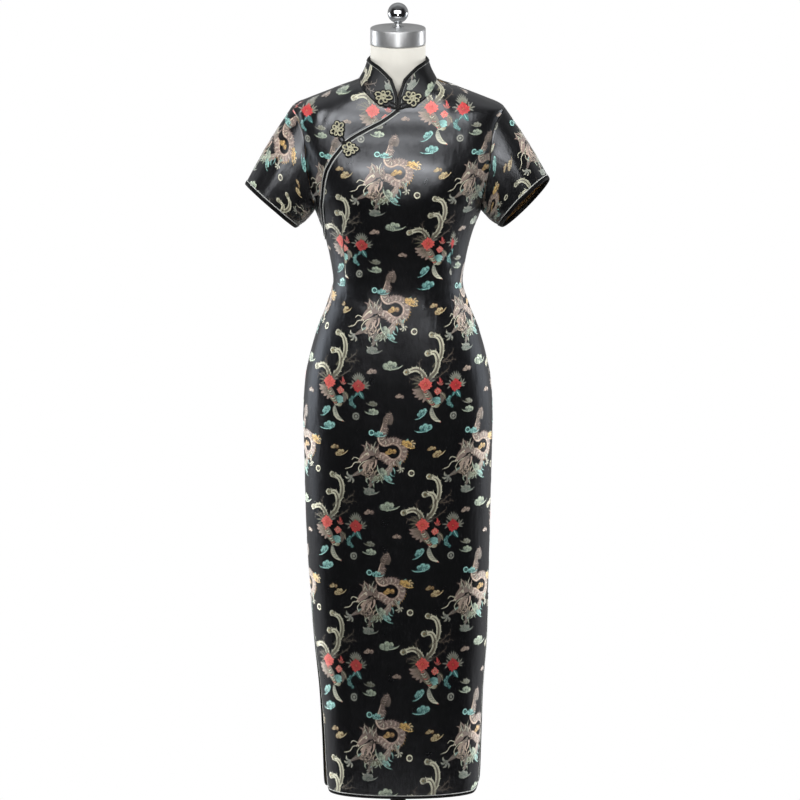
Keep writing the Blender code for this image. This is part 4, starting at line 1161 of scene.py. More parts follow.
def edge_run(name, places, closed=False):
    """A run along a piece's edge: its points, outward directions and directions to the inside."""
    grid, out, _ = cloth()[name]
    line, up, inside = [], [], []
    last_row, last_column = grid.shape[0] - 1, grid.shape[1] - 1
    for i, j in places:
        line.append(grid[i, j])
        up.append(out[i, j])
        di = EDGE_REACH if i == 0 else -EDGE_REACH if i == last_row else 0
        dj = EDGE_REACH if j == 0 else -EDGE_REACH if j == last_column else 0
        inside.append(grid[i + di, j if closed else j + dj] - grid[i, j])
    line, up, inside = np.array(line), np.array(up), np.array(inside)
    across_edge = unit(np.cross(ways(line, closed), up))
    across_edge *= np.sign((across_edge * inside).sum())
    return line, up, across_edge


def band(bm, line, up, inside, profile, closed=False):
    """A strip along an edge, with its section given as (inwards, upwards) pairs."""
    rows = np.array(profile)
    rows = np.vstack([rows, rows[:1]])
    points = line[:, None] + inside[:, None] * rows[None, :, :1] + up[:, None] * rows[None, :, 1:]
    if closed:
        points = np.concatenate([points, points[:1]])
    close_up(bm, grid_mesh(bm, points, lengths(points)))


# The woven figures, drawn in millimetres on the flat cloth, with the large peony's heart at (0, 0)


class Loom:
    """Draws strokes of thread into one mesh, each over the ones before it."""

    def __init__(self):
        self.bm = bmesh.new()
        self.colour = self.bm.verts.layers.float_color.new("thread")
        self.order = 0

    def stroke(self, points, width, ends, first, last=None, metal=False):
        """A stroke along points. ends names one of STROKE_ENDS. Its colour may run to another."""
        points = np.asarray(points, float)
        fine = spread(points, 6 * len(points)) if len(points) > 2 else points
        run = lengths_to(fine)
        count = max(2 if ends == "line" else 3, math.ceil(run[-1] / STROKE_STEP))
        u = np.linspace(0, 1, count + 1)
        line = read(u * run[-1], run, fine)
        way = np.gradient(line, axis=0)
        side = left_of(way / (np.linalg.norm(way, axis=1)[:, None] + 1e-9))
        half = width / 2 * STROKE_ENDS[ends](u)
        rows = max(1, math.ceil(width / STROKE_ACROSS))
        v = np.linspace(-1, 1, rows + 1)
        flat = line[None] + side[None] * (v[:, None] * half[None])[:, :, None]
        self.order += 1
        places = np.concatenate([flat, np.full((*flat.shape[:2], 1), self.order)], axis=2)
        made = grid_mesh(self.bm, places)
        start = np.array(thread(first))
        end = np.array(thread(last or first))
        shades = start[None] * (1 - u[:, None]) + end[None] * u[:, None]
        for k, vert in enumerate(made):
            vert[self.colour] = (*shades[k % (count + 1)], 1.0 if metal else 0.0)

    def dot(self, x, y, radius, colour, last=None, metal=False):
        ends = [(x - radius, y), (x + radius, y)]
        self.stroke(ends, radius * 2, "round", colour, last, metal)

    def curl(self, x, y, radius, start, sweep, width, colour, metal=False):
        """A line that winds in towards a point."""
        turn = np.radians(start + np.linspace(0, sweep, 6))
        reach = radius * np.linspace(1, CURL_END, 6)
        self.stroke([x, y] + heading(turn) * reach[:, None], width, "line", colour, metal=metal)


def thread(name):
    return getattr(bpy.context.scene.cheongsam_threads, name)


# How a stroke's width changes along it, from its start at 0 to its end at 1
STROKE_ENDS = {
    "line": lambda u: np.clip(np.minimum(u, 1 - u) * 5 + 0.35, 0, 1),
    "leaf": lambda u: np.sin(np.pi * u**0.8) ** 0.8,
    "petal": lambda u: np.sin(np.pi * np.clip(0.06 + 0.94 * u**1.35, 0, 0.97)) ** 0.7 + 0.02,
    "round": lambda u: np.sqrt(np.clip(1 - (2 * u - 1) ** 2, 0.0004, 1)),
    "band": lambda u: np.clip(1 - np.abs(2 * u - 1) ** 8, 0.02, 1) ** 0.5,
    "drop": lambda u: np.clip(1 - u, 0.02, 1) ** 0.7 * np.clip(u * 8 + 0.3, 0, 1),
}


def left_of(way):
    """A quarter turn to the left of flat directions."""
    return np.stack([-way[..., 1], way[..., 0]], axis=-1)


def heading(angle):
    """The flat directions of angles in radians."""
    return np.stack([np.cos(angle), np.sin(angle)], axis=-1)


def drawn_at(x, y, size, turn, flip=1):
    """Sizes the points of a small drawing, turns them in degrees and puts them in place."""
    way = heading(math.radians(turn))
    turning = np.array([way, left_of(way)])
    return lambda *points: np.asarray(points, float) * [flip, 1] * size @ turning + [x, y]


def cloud(loom, x, y, size, turn, flip, main, light):
    """A curled cloud with a trailing end. size is half its width."""
    at = drawn_at(x, y, size, turn, flip)
    loom.stroke(at((-0.30, -0.10), (-0.75, -0.30), (-1.25, -0.10)), 0.26 * size, "drop", main)
    loom.stroke(at((-0.50, -0.08), (0.10, -0.10), (0.80, 0.00)), 0.50 * size, "band", main)
    lobes = [(*at((a, b))[0], radius * size) for a, b, radius in CLOUD_LOBES]
    for px, py, radius in lobes:
        loom.dot(px, py, radius, main, light)
    line = max(0.10 * size, 0.9)
    for px, py, radius in lobes:
        loom.curl(px, py, radius * 0.86, turn + (200 if flip > 0 else -20), -330 * flip, line, light)
    loom.stroke(at((-1.20, -0.12), (-0.70, -0.34), (0.0, -0.36), (0.75, -0.18)), line, "line", light)


def small_cloud(loom, x, y, size, turn, flip, main, light):
    """Two lobes side by side with a pointed end."""
    at = drawn_at(x, y, size, turn, flip)
    loom.stroke(at((-0.9, -0.15), (-0.2, 0.0), (0.5, 0.05)), 0.62 * size, "leaf", main, light)
    for a, b, radius in SMALL_CLOUD_LOBES:
        px, py = at((a, b))[0]
        loom.dot(px, py, radius * size, main)
        loom.curl(px, py, radius * size * 0.8, turn + 180, -320 * flip, max(0.12 * size, 0.8), light)


def ring(loom, x, y, radius, main, light):
    """A spot with a ring round it."""
    loom.dot(x, y, radius * 0.5, main)
    round_it = heading(np.radians(np.arange(0, 361, 45)))
    loom.stroke([x, y] + round_it * radius, radius * 0.5, "line", light)


def peony(loom, x, y, radius, deep, main, light):
    """An outer and an inner wheel of petals round a heart with three gold seeds."""
    heart = np.array([x, y])

    def petal(angle, start, end, width, shade):
        way = heading(angle) * radius
        loom.stroke([way * start + heart, way * end + heart], width * radius, "petal", deep, shade)

    for k in range(PEONY_PETALS):
        a = math.radians(k * 360 / PEONY_PETALS + 12)
        reach = (1.12, 0.90, 1.0)[k % 3]
        petal(a, 0.2, reach, 0.48, main)
        tip = [heart + heading(a + d) * radius * reach * s for d, s in PEONY_TIP]
        loom.stroke(tip, 0.09 * radius, "line", light)
    for k in range(6):
        petal(math.radians(k * 60 + 40), 0.08, 0.62, 0.46, light)
    loom.dot(x, y, 0.16 * radius, deep)
    for k in range(3):
        seed = heart + heading(math.radians(k * 120 + 90)) * 0.12 * radius
        loom.dot(*seed, 0.07 * radius, "gold", metal=True)


def spray(loom, x, y, length, turn, count, width, main, light):
    """A fan of narrow leaves."""
    root = np.array([x, y])
    for k in range(count):
        bend = (k - (count - 1) / 2) / max(count - 1, 1)
        a = math.radians(turn + bend * SPRAY_SPREAD)
        reach = length * (1 - 0.45 * abs(bend))
        middle = root + heading(a - 0.12) * 0.5 * reach
        loom.stroke([root, middle, root + heading(a) * reach], width, "leaf", main, light)


def spread(points, count, start=0.0, end=None):
    """Places on the smooth curve through points, from one of its steps to another."""
    return catmull(points, np.linspace(start, len(points) - 1 if end is None else end, count))


def marks(loom, places, shape, width, ends, *shades):
    """The same short stroke at each of the places, in one shade after another."""
    for k, place in enumerate(places):
        loom.stroke(place + np.array(shape), width, ends, shades[k % len(shades)])


def leaf(loom, points, width, main, light):
    loom.stroke(points, width, "leaf", main)
    loom.stroke(points, max(width * 0.16, 0.7), "line", light)


def beside(points, distance):
    """A run of points to the left of another."""
    points = np.asarray(points, float)
    return points + left_of(unit(np.gradient(points, axis=0))) * distance


def plume(loom, points, width, main, light, eye):
    """A tail feather with an eye at its end, which is its last point."""
    points = spread(points, 9)
    loom.stroke(points, width, "petal", main, light)
    for side in (-1, 1):
        edge = beside(points[1:], side * width * 0.40)
        loom.stroke(edge, 0.9, "line", light)
        for k in range(1, 8):
            start = points[k] + (edge[k - 1] - points[k]) * 0.6
            way = points[k] - points[k - 1]
            tip = start + edge[k - 1] - points[k] + unit(way) * width * 0.45
            loom.stroke([start, tip], 1.1, "leaf", light)
    loom.stroke(points[:-1], 2.0, "line", "brown")
    x, y = points[-1]
    loom.dot(x, y, width * 0.62, light, main)
    loom.dot(x, y, width * 0.36, eye)
    loom.dot(x, y, width * 0.16, "gold", metal=True)


def twig(loom, points, side, colour):
    """A thin stem with short side shoots."""
    points = spread(points, 7)
    loom.stroke(points, 1.3, "line", colour)
    for k in range(1, 7):
        way = unit(points[k] - points[k - 1])
        shoot = way * 0.8 + left_of(way) * side * (-1) ** k
        loom.stroke([points[k], points[k] + shoot * TWIG_SHOOT], 1.1, "leaf", colour)


def feathers(loom, root, tips, width, main, light):
    """A wing: overlapping feathers from a root to their tips."""
    root = np.array(root, float)
    for tip in tips:
        way = tip - root
        middle = root + way * 0.55 + left_of(way) * 0.08
        loom.stroke([root + way * 0.1, middle, tip], width, "petal", main, light)
        loom.stroke([root + way * 0.3, middle, root + way * 0.95], 0.8, "line", light)


def phoenix(loom):
    """Flying down under the large peony, with its wings spread."""
    feathers(loom, (2, -12), PHOENIX_LEFT_WING, 6.0, "olive", "dust")
    feathers(loom, (10, -28), PHOENIX_RIGHT_WING, 7.0, "teal", "pale_teal")
    loom.stroke(PHOENIX_BACK, 15, "leaf", "mauve", "olive")
    back = spread(PHOENIX_BACK, 9, 0.3, 2.8)
    marks(loom, back, ((-5.0, 0.5), (0, -2.6), (4.6, 1.6)), 1.3, "leaf", "green_cream", "coral", "cream")
    loom.stroke(PHOENIX_NECK, 9.0, "leaf", "grey", "cream")
    loom.stroke(beside(spread(PHOENIX_NECK, 7, 0.3, 2.8), 1.8), 1.0, "line", "slate")
    marks(loom, spread(PHOENIX_NECK, 6, 0.3, 2.2), ((-3.4, 1.0), (3.0, -0.6)), 0.9, "line", "slate")
    loom.stroke([(16, -40), (22, -41), (28, -38)], 6.5, "leaf", "green_cream", "gold_brown")
    loom.dot(29, -70.5, 1.0, "red")
    for points, width in PHOENIX_TAIL:
        plume(loom, points, width, "plume", "cream", "olive")
    for points, side in TWIGS:
        twig(loom, points, side, "brown")


def claw(loom, x, y, size, turn, main, light):
    """A foot with four hooked toes."""
    for k in range(4):
        hook = drawn_at(x, y, size, turn + (k - 1.5) * 52)((0.15, 0), (0.65, 0.10), (0.95, -0.22))
        loom.stroke(hook, size * 0.34, "leaf", main, light)
        loom.stroke(hook[1:], size * 0.10, "line", "cream")
    loom.dot(x, y, size * 0.26, main, light)


def flames(loom, roots, way, length, width, main, light):
    """Tongues of hair that stream one way from a row of roots."""
    way = unit(np.array(way, float))
    for k, root in enumerate(np.array(roots, float)):
        bend = left_of(way) * (0.22 if k % 2 else -0.14) * length
        tip = root + way * length * (1 - 0.12 * (k % 3)) + bend
        tongue = [root, root + way * length * 0.5 - bend * 0.4, tip]
        loom.stroke(tongue, width, "drop", main, light)
        loom.stroke([root + way, *tongue[1:]], 0.8, "line", light)


def dragon_leg(loom, root, knee, foot, size, turn, light):
    loom.stroke([root, knee, foot], 9.0, "leaf", "brown", "mauve")
    inner = spread([root, knee, foot], 9, 0.2, 1.8)
    marks(loom, inner, ((-2.6, -0.6), (0, 1.2), (2.6, -0.6)), 0.8, "line", light)
    flames(loom, [knee, inner[5]], (0.5, 0.7), 8, 3.0, "slate", "pale_teal")
    claw(loom, *foot, size, turn, "grey", light)


def dragon_body(loom):
    """The tail's flame, then the looped body with its crest, its belly and its arched scales."""
    flames(loom, DRAGON_FLAME, (0.2, 1), 24, 7.5, "brown", "mauve")
    loom.stroke(DRAGON_TAIL, 13, "leaf", "brown", "mauve")
    tail = [(-70 + 1.7 * k, 186 + 4.2 * k) for k in range(5)]
    marks(loom, tail, ((-4, 2.0), (0, 0), (4, 2.4)), 0.9, "line", "pink_cream")
    body = spread(DRAGON_BODY, DRAGON_STEPS)
    for k in range(2, DRAGON_STEPS - 2):
        way = body[k + 1] - body[k - 1]
        out = unit(left_of(way))
        root = body[k] + out * 4.6
        tip = root + out * 4.6 + way * 0.3
        gilt = k in DRAGON_GILT
        shades = ("gold_brown", "gold") if gilt else ("brown", "dust")
        loom.stroke([root - way * 0.2, tip], 2.6, "drop", *shades, metal=gilt)
    loom.stroke(DRAGON_BODY, 13.5, "band", "mauve", "dust")
    loom.stroke(beside(body, -4.4), 2.6, "line", "pink_cream")
    for k in range(1, DRAGON_STEPS - 1):
        way = unit(body[k + 1] - body[k - 1])
        out = left_of(way)
        arch = [body[k] - out * 2.0, body[k] + out * 1.4 + way * 1.8, body[k] + out * 5.4]
        loom.stroke(arch, 0.9, "line", ("cream", "brown", "pink_cream", "brown")[k % 4])
    loom.stroke(DRAGON_FLANK, 13, "leaf", "dust", "slate")
    flank = spread(DRAGON_FLANK, 12, 0.3, 3.8)
    marks(loom, flank, ((-4.4, -2.6), (-0.5, 1.0), (2.2, 4.6)), 0.9, "line", "cream", "grey")


def dragon_head(loom):
    """Its mane and beard, then its long snout with horns, whiskers, a nostril and an eye."""
    flames(loom, DRAGON_MANE, (-0.25, 1), 19, 5.5, "brown", "dust")
    flames(loom, DRAGON_MANE[1::2], (0.35, 1), 15, 3.4, "mauve", "cream")
    flames(loom, DRAGON_BEARD, (-0.15, -1), 20, 4.6, "dust", "pink_cream")
    loom.stroke(DRAGON_SNOUT, 15, "leaf", "mauve", "dust")
    loom.stroke(DRAGON_JAW, 6.5, "leaf", "mauve", "pink_cream")
    loom.stroke(beside(DRAGON_SNOUT[1:], -2.0), 2.4, "leaf", "cream", "pink_cream")
    loom.stroke([(-100, 118), (-108, 115), (-115, 109)], 1.4, "line", "cream")
    for horn in DRAGON_HORNS:
        loom.stroke(horn, 2.4, "drop", "grey", "cream")
    for whisker in DRAGON_WHISKERS:
        loom.stroke(whisker, 1.3, "line", "cream")
    loom.curl(-116, 113, 3.4, 200, -300, 1.4, "cream")
    loom.dot(-101, 129, 2.6, "cream")
    loom.dot(-101, 129, 1.1, "crimson")


def dragon(loom):
    """Its head to the left, its body looped once behind it, and its tail up in a flame."""
    dragon_body(loom)
    for tuft in DRAGON_TUFTS:
        flames(loom, *tuft)
    for leg in DRAGON_LEGS:
        dragon_leg(loom, *leg)
    dragon_head(loom)


@functools.lru_cache(maxsize=None)
def figures():
    """One repeat of the woven figures: places in metres, faces, lifts, and the mesh itself."""
    loom = Loom()
    for row in SPRAYS:
        spray(loom, *row)
    phoenix(loom)
    for row in LEAVES:
        leaf(loom, *row)
    for row in PEONIES:
        peony(loom, *row)
    dragon(loom)
    for kind, *row in CLOUDS:
        (cloud if kind == "cloud" else small_cloud)(loom, *row)
    for row in RINGS:
        ring(loom, *row)
    tile = bpy.data.meshes.new("figures_repeat")
    loom.bm.to_mesh(tile)
    loom.bm.free()
    places = np.array([v.co for v in tile.vertices])
    faces = np.array([f.vertices for f in tile.polygons])
    lift = FIGURE_LIFT + FIGURE_STEP * places[:, 2] / places[:, 2].max()
    return places[:, :2] / 1000, faces, lift, tile


# Laying the figures on the cloth


def cells(rows, width):
    """The numbers of the four corners of each cell of a grid, in turn round it."""
    index = np.arange(rows * width).reshape(rows, width)
    return [q.ravel() for q in (index[:-1, :-1], index[:-1, 1:], index[1:, 1:], index[1:, :-1])]


def flat_tree(flat):
    """The piece's flat shape as a tree of triangles, with their corners' numbers."""
    rows, width = flat.shape[:2]
    a, b, c, d = cells(rows, width)
    corners = np.concatenate([np.stack([a, b, c], axis=1), np.stack([a, c, d], axis=1)])
    points = np.zeros((rows * width, 3))
    points[:, :2] = flat.reshape(-1, 2)
    return BVHTree.FromPolygons(points.tolist(), corners.tolist()), corners


def within(spots, a, b, c):
    """The shares of three corners at flat places in their triangles."""
    across_b, across_c, offset = b - a, c - a, spots - a
    whole = across_b[:, 0] * across_c[:, 1] - across_b[:, 1] * across_c[:, 0]
    whole = np.where(np.abs(whole) < 1e-14, 1e-14, whole)
    share_b = (offset[:, 0] * across_c[:, 1] - offset[:, 1] * across_c[:, 0]) / whole
    share_c = (across_b[:, 0] * offset[:, 1] - across_b[:, 1] * offset[:, 0]) / whole
    shares = np.clip(np.stack([1 - share_b - share_c, share_b, share_c], axis=1), 0, 1)
    return shares / shares.sum(1)[:, None]


def lay_repeat(whole, piece, tree, corners, spots, faded):
    """Adds one repeat of the figures, brought on to the piece. What falls outside it is cut away."""
    grid, out, flat = (part.reshape(-1, part.shape[-1]) for part in piece)
    _, faces, lift, tile = figures()
    nearest = [tree.find_nearest((x, y, 0.0), FIGURE_SNAP) for x, y in spots]
    found = np.array([hit[2] is not None for hit in nearest])
    if not found.any():
        return
    inside = np.array([hit[3] is not None and hit[3] < 1e-6 for hit in nearest])
    triangle = corners[[hit[2] or 0 for hit in nearest]]
    landed = np.array([hit[0][:2] if hit[0] else (0, 0) for hit in nearest])
    shares = within(landed, *(flat[triangle[:, k]] for k in range(3)))[:, :, None]
    normal = (out[triangle] * shares).sum(1)
    normal /= np.linalg.norm(normal, axis=1)[:, None] + 1e-12
    point = (grid[triangle] * shares).sum(1) + normal * lift[:, None]
    bm = bmesh.new()
    bm.from_mesh(tile)
    colour = bm.verts.layers.float_color["thread"]
    place = bm.verts.layers.float_vector.new("place")
    for vert, spot, at in zip(bm.verts, point, landed):
        vert.co = spot
        vert[place] = (*at, 0)
        if faded:
            shade = vert[colour]
            vert[colour] = (*(np.array(shade[:3]) * FADED_SHARE + FADED_TONE), shade[3])
    kept = found[faces].all(1) & inside[faces].any(1)
    bmesh.ops.delete(bm, geom=[f for f, keep in zip(bm.faces, kept) if not keep], context="FACES")
    laid = bpy.data.meshes.new("laid_repeat")
    bm.to_mesh(laid)
    bm.free()
    whole.from_mesh(laid)
    bpy.data.meshes.remove(laid)


def lay_figures(name, node):
    """The woven figures of a whole piece, as one slightly raised mesh."""
    piece = cloth()[name]
    origin = np.array(PIECE_ORIGINS.get(name, FIGURE_ORIGIN))
    tree, corners = flat_tree(piece[2])
    places = figures()[0]
    repeat = np.array([REPEAT_WIDTH, REPEAT_HEIGHT])
    low, high = piece[2].reshape(-1, 2).min(0), piece[2].reshape(-1, 2).max(0)
    first = np.floor((low - origin - places.max(0)) / repeat).astype(int)
    last = np.ceil((high - origin - places.min(0)) / repeat).astype(int)
    bm = bmesh.new()
    for j in range(first[1], last[1] + 1):
        for i in range(first[0], last[0] + 1):
            spots = places + origin + repeat * [i, j]
            if np.all((spots > low) & (spots < high), axis=1).any():
                lay_repeat(bm, piece, tree, corners, spots, i % 2)
    bmesh.ops.dissolve_degenerate(bm, dist=1e-5, edges=bm.edges)
    layer = bm.loops.layers.uv.verify()
    place = bm.verts.layers.float_vector["place"]
    for face in bm.faces:
        for loop in face.loops:
            loop[layer].uv = loop.vert[place].xy
    return finished(f"{node}_figures", bm, ["threads"], 180)


# Finishes


class Nodes:
    """A tree of shading nodes."""

    def __init__(self, tree):
        self.tree = tree

    def node(self, kind, settings=None, **inputs):
        made = self.tree.nodes.new(kind)
        for name, value in (settings or {}).items():
            setattr(made, name, value)
        for name, value in inputs.items():
            self.feed(made, name.replace("_", " "), value)
        return made

    def feed(self, node, name, value):
        """Links or sets an input, which is given by its name or as input and its number."""
        socket = node.inputs[int(name[5:])] if name.startswith("input") else node.inputs[name]
        if hasattr(value, "is_output"):
            self.tree.links.new(value, socket)
        else:
            socket.default_value = value

    def maths(self, operation, first, second):
        return self.node("ShaderNodeMath", {"operation": operation}, input0=first, input1=second).outputs[0]

    def plus(self, first, second):
        return self.maths("ADD", first, second)

    def times(self, first, second):
        return self.maths("MULTIPLY", first, second)


class Finish(Nodes):
    """A material with a Principled shader, and the nodes that feed it."""

    def __init__(self, name, base, roughness, metallic=0.0, sheen=0.0, specular=0.5):
        self.material = bpy.data.materials.new(name)
        self.material.use_nodes = True
        super().__init__(self.material.node_tree)
        self.shader = self.tree.nodes["Principled BSDF"]
        self.shade("Base Color", opaque(base))
        self.shade("Roughness", roughness)
        self.shade("Metallic", metallic)
        self.shade("Sheen Weight", sheen)
        self.shade("Sheen Roughness", 0.4)
        self.shade("Specular IOR Level", specular)

    def shade(self, name, value):
        self.feed(self.shader, name, value)

    def coordinates(self, kind="UV"):
        return self.node("ShaderNodeTexCoord").outputs[kind]

    def stretched(self, vector, scale, turn=0.0):
        made = self.node("ShaderNodeMapping", Vector=vector, Scale=scale, Rotation=(0, 0, turn))
        return made.outputs[0]

    def noise(self, vector, scale, detail=2.0):
        return self.node("ShaderNodeTexNoise", Vector=vector, Scale=scale, Detail=detail).outputs[0]

    def ridges(self, vector, period, direction="X", distortion=0.0):
        """Ridges whose period is in metres."""
        settings = {"bands_direction": direction, "wave_profile": "SIN"}
        scale = math.tau / 20 / period
        made = self.node("ShaderNodeTexWave", settings, Vector=vector, Scale=scale, Distortion=distortion)
        return made.outputs["Fac"]

    def between(self, value, low, high):
        """The value, from 0 to 1, as one from low to high."""
        return self.node("ShaderNodeMapRange", Value=value, To_Min=low, To_Max=high).outputs[0]

    def blend(self, share, first, second):
        made = self.node("ShaderNodeMix", {"data_type": "RGBA"})
        self.feed(made, "input0", share)
        self.feed(made, "input6", first)
        self.feed(made, "input7", second)
        return made.outputs[2]

    def tones(self, share, first, second):
        self.shade("Base Color", self.blend(share, first, second))

    def dullness(self, share, low, high):
        self.shade("Roughness", self.between(share, low, high))

    def bump(self, height, distance, strength):
        made = self.node("ShaderNodeBump", Height=height, Distance=distance, Strength=strength)
        self.shade("Normal", made.outputs[0])


def opaque(colour, times=1.0, plus=0.0):
    """A colour made darker or lighter, with its alpha."""
    return (*(c * times + plus for c in colour), 1)


def brocade_ground(name="brocade_ground", gloss=1.0, dull=0.0):
    """Black satin: a fine slanting weave, soft ripples, and slight changes of tone and polish."""
    look = bpy.context.scene.cheongsam_cloth
    rough = look.ground_roughness + dull
    made = Finish(name, look.ground, rough, specular=gloss)
    made.shade("Specular Tint", opaque(look.ground_gloss))
    made.shade("IOR", look.ground_index)
    flat = made.coordinates()
    weave = made.ridges(made.stretched(flat, (1, 1, 1), math.radians(63)), look.thread_period)
    weft = made.ridges(flat, look.thread_period * 0.8, "Y")
    cloudy = made.noise(flat, 38.0, 4.0)
    ripples = made.noise(made.stretched(flat, (26, 9, 1), 0.2), 1.0, 3.0)
    made.dullness(cloudy, rough - 0.05, rough + 0.06)
    lighter = opaque(look.ground, 1.9, 0.001)
    made.tones(made.times(weft, cloudy), opaque(look.ground), lighter)
    fine = made.times(made.plus(weave, made.times(cloudy, 1.5)), 0.012)
    height = made.plus(fine, made.times(ripples, look.ripple))
    made.bump(height, 0.004, 0.6)
    return made.material


def brocade_reverse():
    """The brocade's inside, where the figures' threads run loose."""
    look = bpy.context.scene.cheongsam_cloth
    made = Finish("brocade_reverse", look.reverse, 0.55, sheen=0.2)
    flat = made.coordinates()
    floats = made.noise(made.stretched(flat, (260, 22, 1)), 1.0, 3.0)
    patches = made.noise(flat, 22.0, 2.0)
    tone = made.blend(floats, opaque(look.reverse), opaque(look.reverse_light))
    made.tones(made.between(patches, -0.6, 1.4), opaque(look.reverse, 0.3), tone)
    made.bump(made.plus(floats, made.ridges(flat, look.thread_period, "Y")), 0.0001, 0.7)
    return made.material


def figure_threads():
    """Floats of silk and metal thread, whose colours are held at the mesh's points."""
    look = bpy.context.scene.cheongsam_cloth
    rough, sheen = look.thread_roughness, look.thread_sheen
    made = Finish("figure_threads", (0.5, 0.5, 0.5), rough, sheen=sheen, specular=0.9)
    made.shade("IOR", look.thread_index)
    held = made.node("ShaderNodeAttribute", {"attribute_name": "thread"})
    flat = made.coordinates()
    floats = made.ridges(flat, look.thread_period, "Y")
    slubs = made.noise(made.stretched(flat, (120, 2600, 1)), 1.0, 2.0)
    worn = made.noise(flat, 260.0, 3.0)
    uneven = made.plus(made.times(floats, 0.4), made.times(slubs, 0.5))
    light = made.between(made.plus(uneven, made.times(worn, 1.1)), 0.25, 1.2)
    shade = made.node("ShaderNodeVectorMath", {"operation": "SCALE"}, input0=held.outputs["Color"])
    made.feed(shade, "Scale", light)
    made.shade("Base Color", shade.outputs[0])
    made.shade("Metallic", made.times(held.outputs["Alpha"], 0.55))
    made.bump(made.plus(floats, slubs), 0.0001, 0.7)
    return made.material


def binding_satin():
    """Plain black satin, cut on the bias."""
    look = bpy.context.scene.cheongsam_cloth
    rough = look.binding_roughness
    made = Finish("binding_satin", look.binding, rough, specular=0.3)
    place = made.coordinates("Object")
    cloudy = made.noise(place, 60.0, 3.0)
    fine = made.noise(place, 2600.0, 1.0)
    made.tones(cloudy, opaque(look.binding), opaque(look.binding, 2.2, 0.002))
    made.dullness(cloudy, rough - 0.06, rough + 0.08)
    made.bump(made.plus(cloudy, made.times(fine, 0.25)), 0.0004, 0.5)
    return made.material


def cord(name, base, roughness, twist, metallic=0.0):
    """A twisted cord, whose own flat map runs along it and round it."""
    made = Finish(name, base, roughness, metallic, sheen=0.15)
    flat = made.coordinates()
    plies = made.ridges(made.stretched(flat, (1, 1, 1), math.radians(45)), twist)
    slubs = made.noise(made.coordinates("Object"), 900.0, 2.0)
    made.tones(made.times(plies, slubs), opaque(base, 0.55), opaque(base))
    made.dullness(slubs, roughness - 0.08, roughness + 0.1)
    made.bump(plies, 0.00025, 0.8)
    return made.material


def form_cover():
    """Cream jersey, drawn smooth."""
    look = bpy.context.scene.cheongsam_form
    made = Finish("form_cover", look.cover, look.cover_roughness, sheen=0.15)
    place = made.coordinates("Object")
    columns_of_knit = made.ridges(place, 0.0011, "X", 1.5)
    rows_of_knit = made.ridges(place, 0.0009, "Z", 1.5)
    soft = made.noise(place, 14.0, 3.0)
    made.tones(soft, opaque(look.cover, 0.93), opaque(look.cover))
    made.bump(made.plus(columns_of_knit, rows_of_knit), 0.00012, 0.35)
    return made.material


def brushed_metal():
    """Brushed round its axis."""
    look = bpy.context.scene.cheongsam_form
    made = Finish("brushed_metal", look.metal, 0.3, 0.86)
    place = made.coordinates("Object")
    lines = made.noise(made.stretched(place, (40, 40, 5200)), 1.0, 3.0)
    soft = made.noise(place, 60.0, 2.0)
    made.dullness(lines, 0.30, 0.44)
    made.tones(soft, opaque(look.metal, 0.8), opaque(look.metal))
    made.bump(lines, 0.00002, 0.5)
    return made.material


def polished_metal():
    """Chrome with fine wear."""
    look = bpy.context.scene.cheongsam_form
    made = Finish("polished_metal", look.chrome, 0.10, 1.0)
    place = made.coordinates("Object")
    wear = made.noise(place, 240.0, 4.0)
    made.dullness(wear, 0.07, 0.15)
    return made.material


def painted_metal():
    """Dark powder paint."""
    look = bpy.context.scene.cheongsam_form
    made = Finish("painted_metal", look.stand_paint, 0.42, 0.2)
    place = made.coordinates("Object")
    grain = made.noise(place, 900.0, 3.0)
    made.dullness(grain, 0.34, 0.52)
    made.bump(grain, 0.00004, 0.4)
    return made.material


@functools.lru_cache(maxsize=None)
def finish(name):
    """The named finish, made once."""
    look = bpy.context.scene.cheongsam_cloth
    makers = {
        "ground": brocade_ground,
        "stiffened": lambda: brocade_ground("brocade_stiffened", 0.35, 0.15),
        "reverse": brocade_reverse,
        "threads": figure_threads,
        "binding": binding_satin,
        # pale cords: a painted highlight on black satin
        "highlight_piping": lambda: cord("highlight_piping_cord", look.highlight_piping, 0.34, 0.0011),
        "frog_gold": lambda: cord("frog_gold_cord", look.frog_gold, 0.36, 0.0012, 0.35),
        "frog_black": lambda: cord("frog_black_cord", look.binding, 0.42, 0.0012),
        "form": form_cover,
        "brushed": brushed_metal,
        "polished": polished_metal,
        "painted": painted_metal,
    }
    return makers[name]()


# Bindings, and their pale cords, which paint a highlight


def nearest_row(name, column, height):
    """The row of a piece's grid whose point in that column is nearest a height above the hem."""
    return int(np.abs(cloth()[name][0][:, column, 2] - HEM_HEIGHT - height).argmin())


def hem_places(name):
    """From the top of one slit down, along the hem, and up to the top of the other slit."""
    width = cloth()[name][0].shape[1]
    left, right = nearest_row(name, 0, SLIT_TOP), nearest_row(name, -1, SLIT_TOP)
    down = [(i, 0) for i in range(left, 0, -1)]
    up = [(i, width - 1) for i in range(1, right + 1)]
    return down + [(0, j) for j in range(width)] + up


def placket_places():
    """From the side seam up and over to the neck."""
    grid = cloth()["front"][0]
    last = grid.shape[0] - 1
    neck = int(np.abs(grid[-1, :, 0]).argmin())
    low = nearest_row("front", 0, PLACKET_END)
    return [(i, 0) for i in range(low, last)] + [(last, j) for j in range(neck + 1)]


def collar_places():
    """Up one front end, round the top and down the other end."""
    rows, width = cloth()["collar"][0].shape[:2]
    up = [(i, 0) for i in range(rows)]
    down = [(i, width - 1) for i in range(rows - 2, -1, -1)]
    return up + [(rows - 1, j) for j in range(1, width)] + down


def cuff_places(name):
    rows, width = cloth()[name][0].shape[:2]
    return [(rows - 1, j) for j in range(width - 1)]


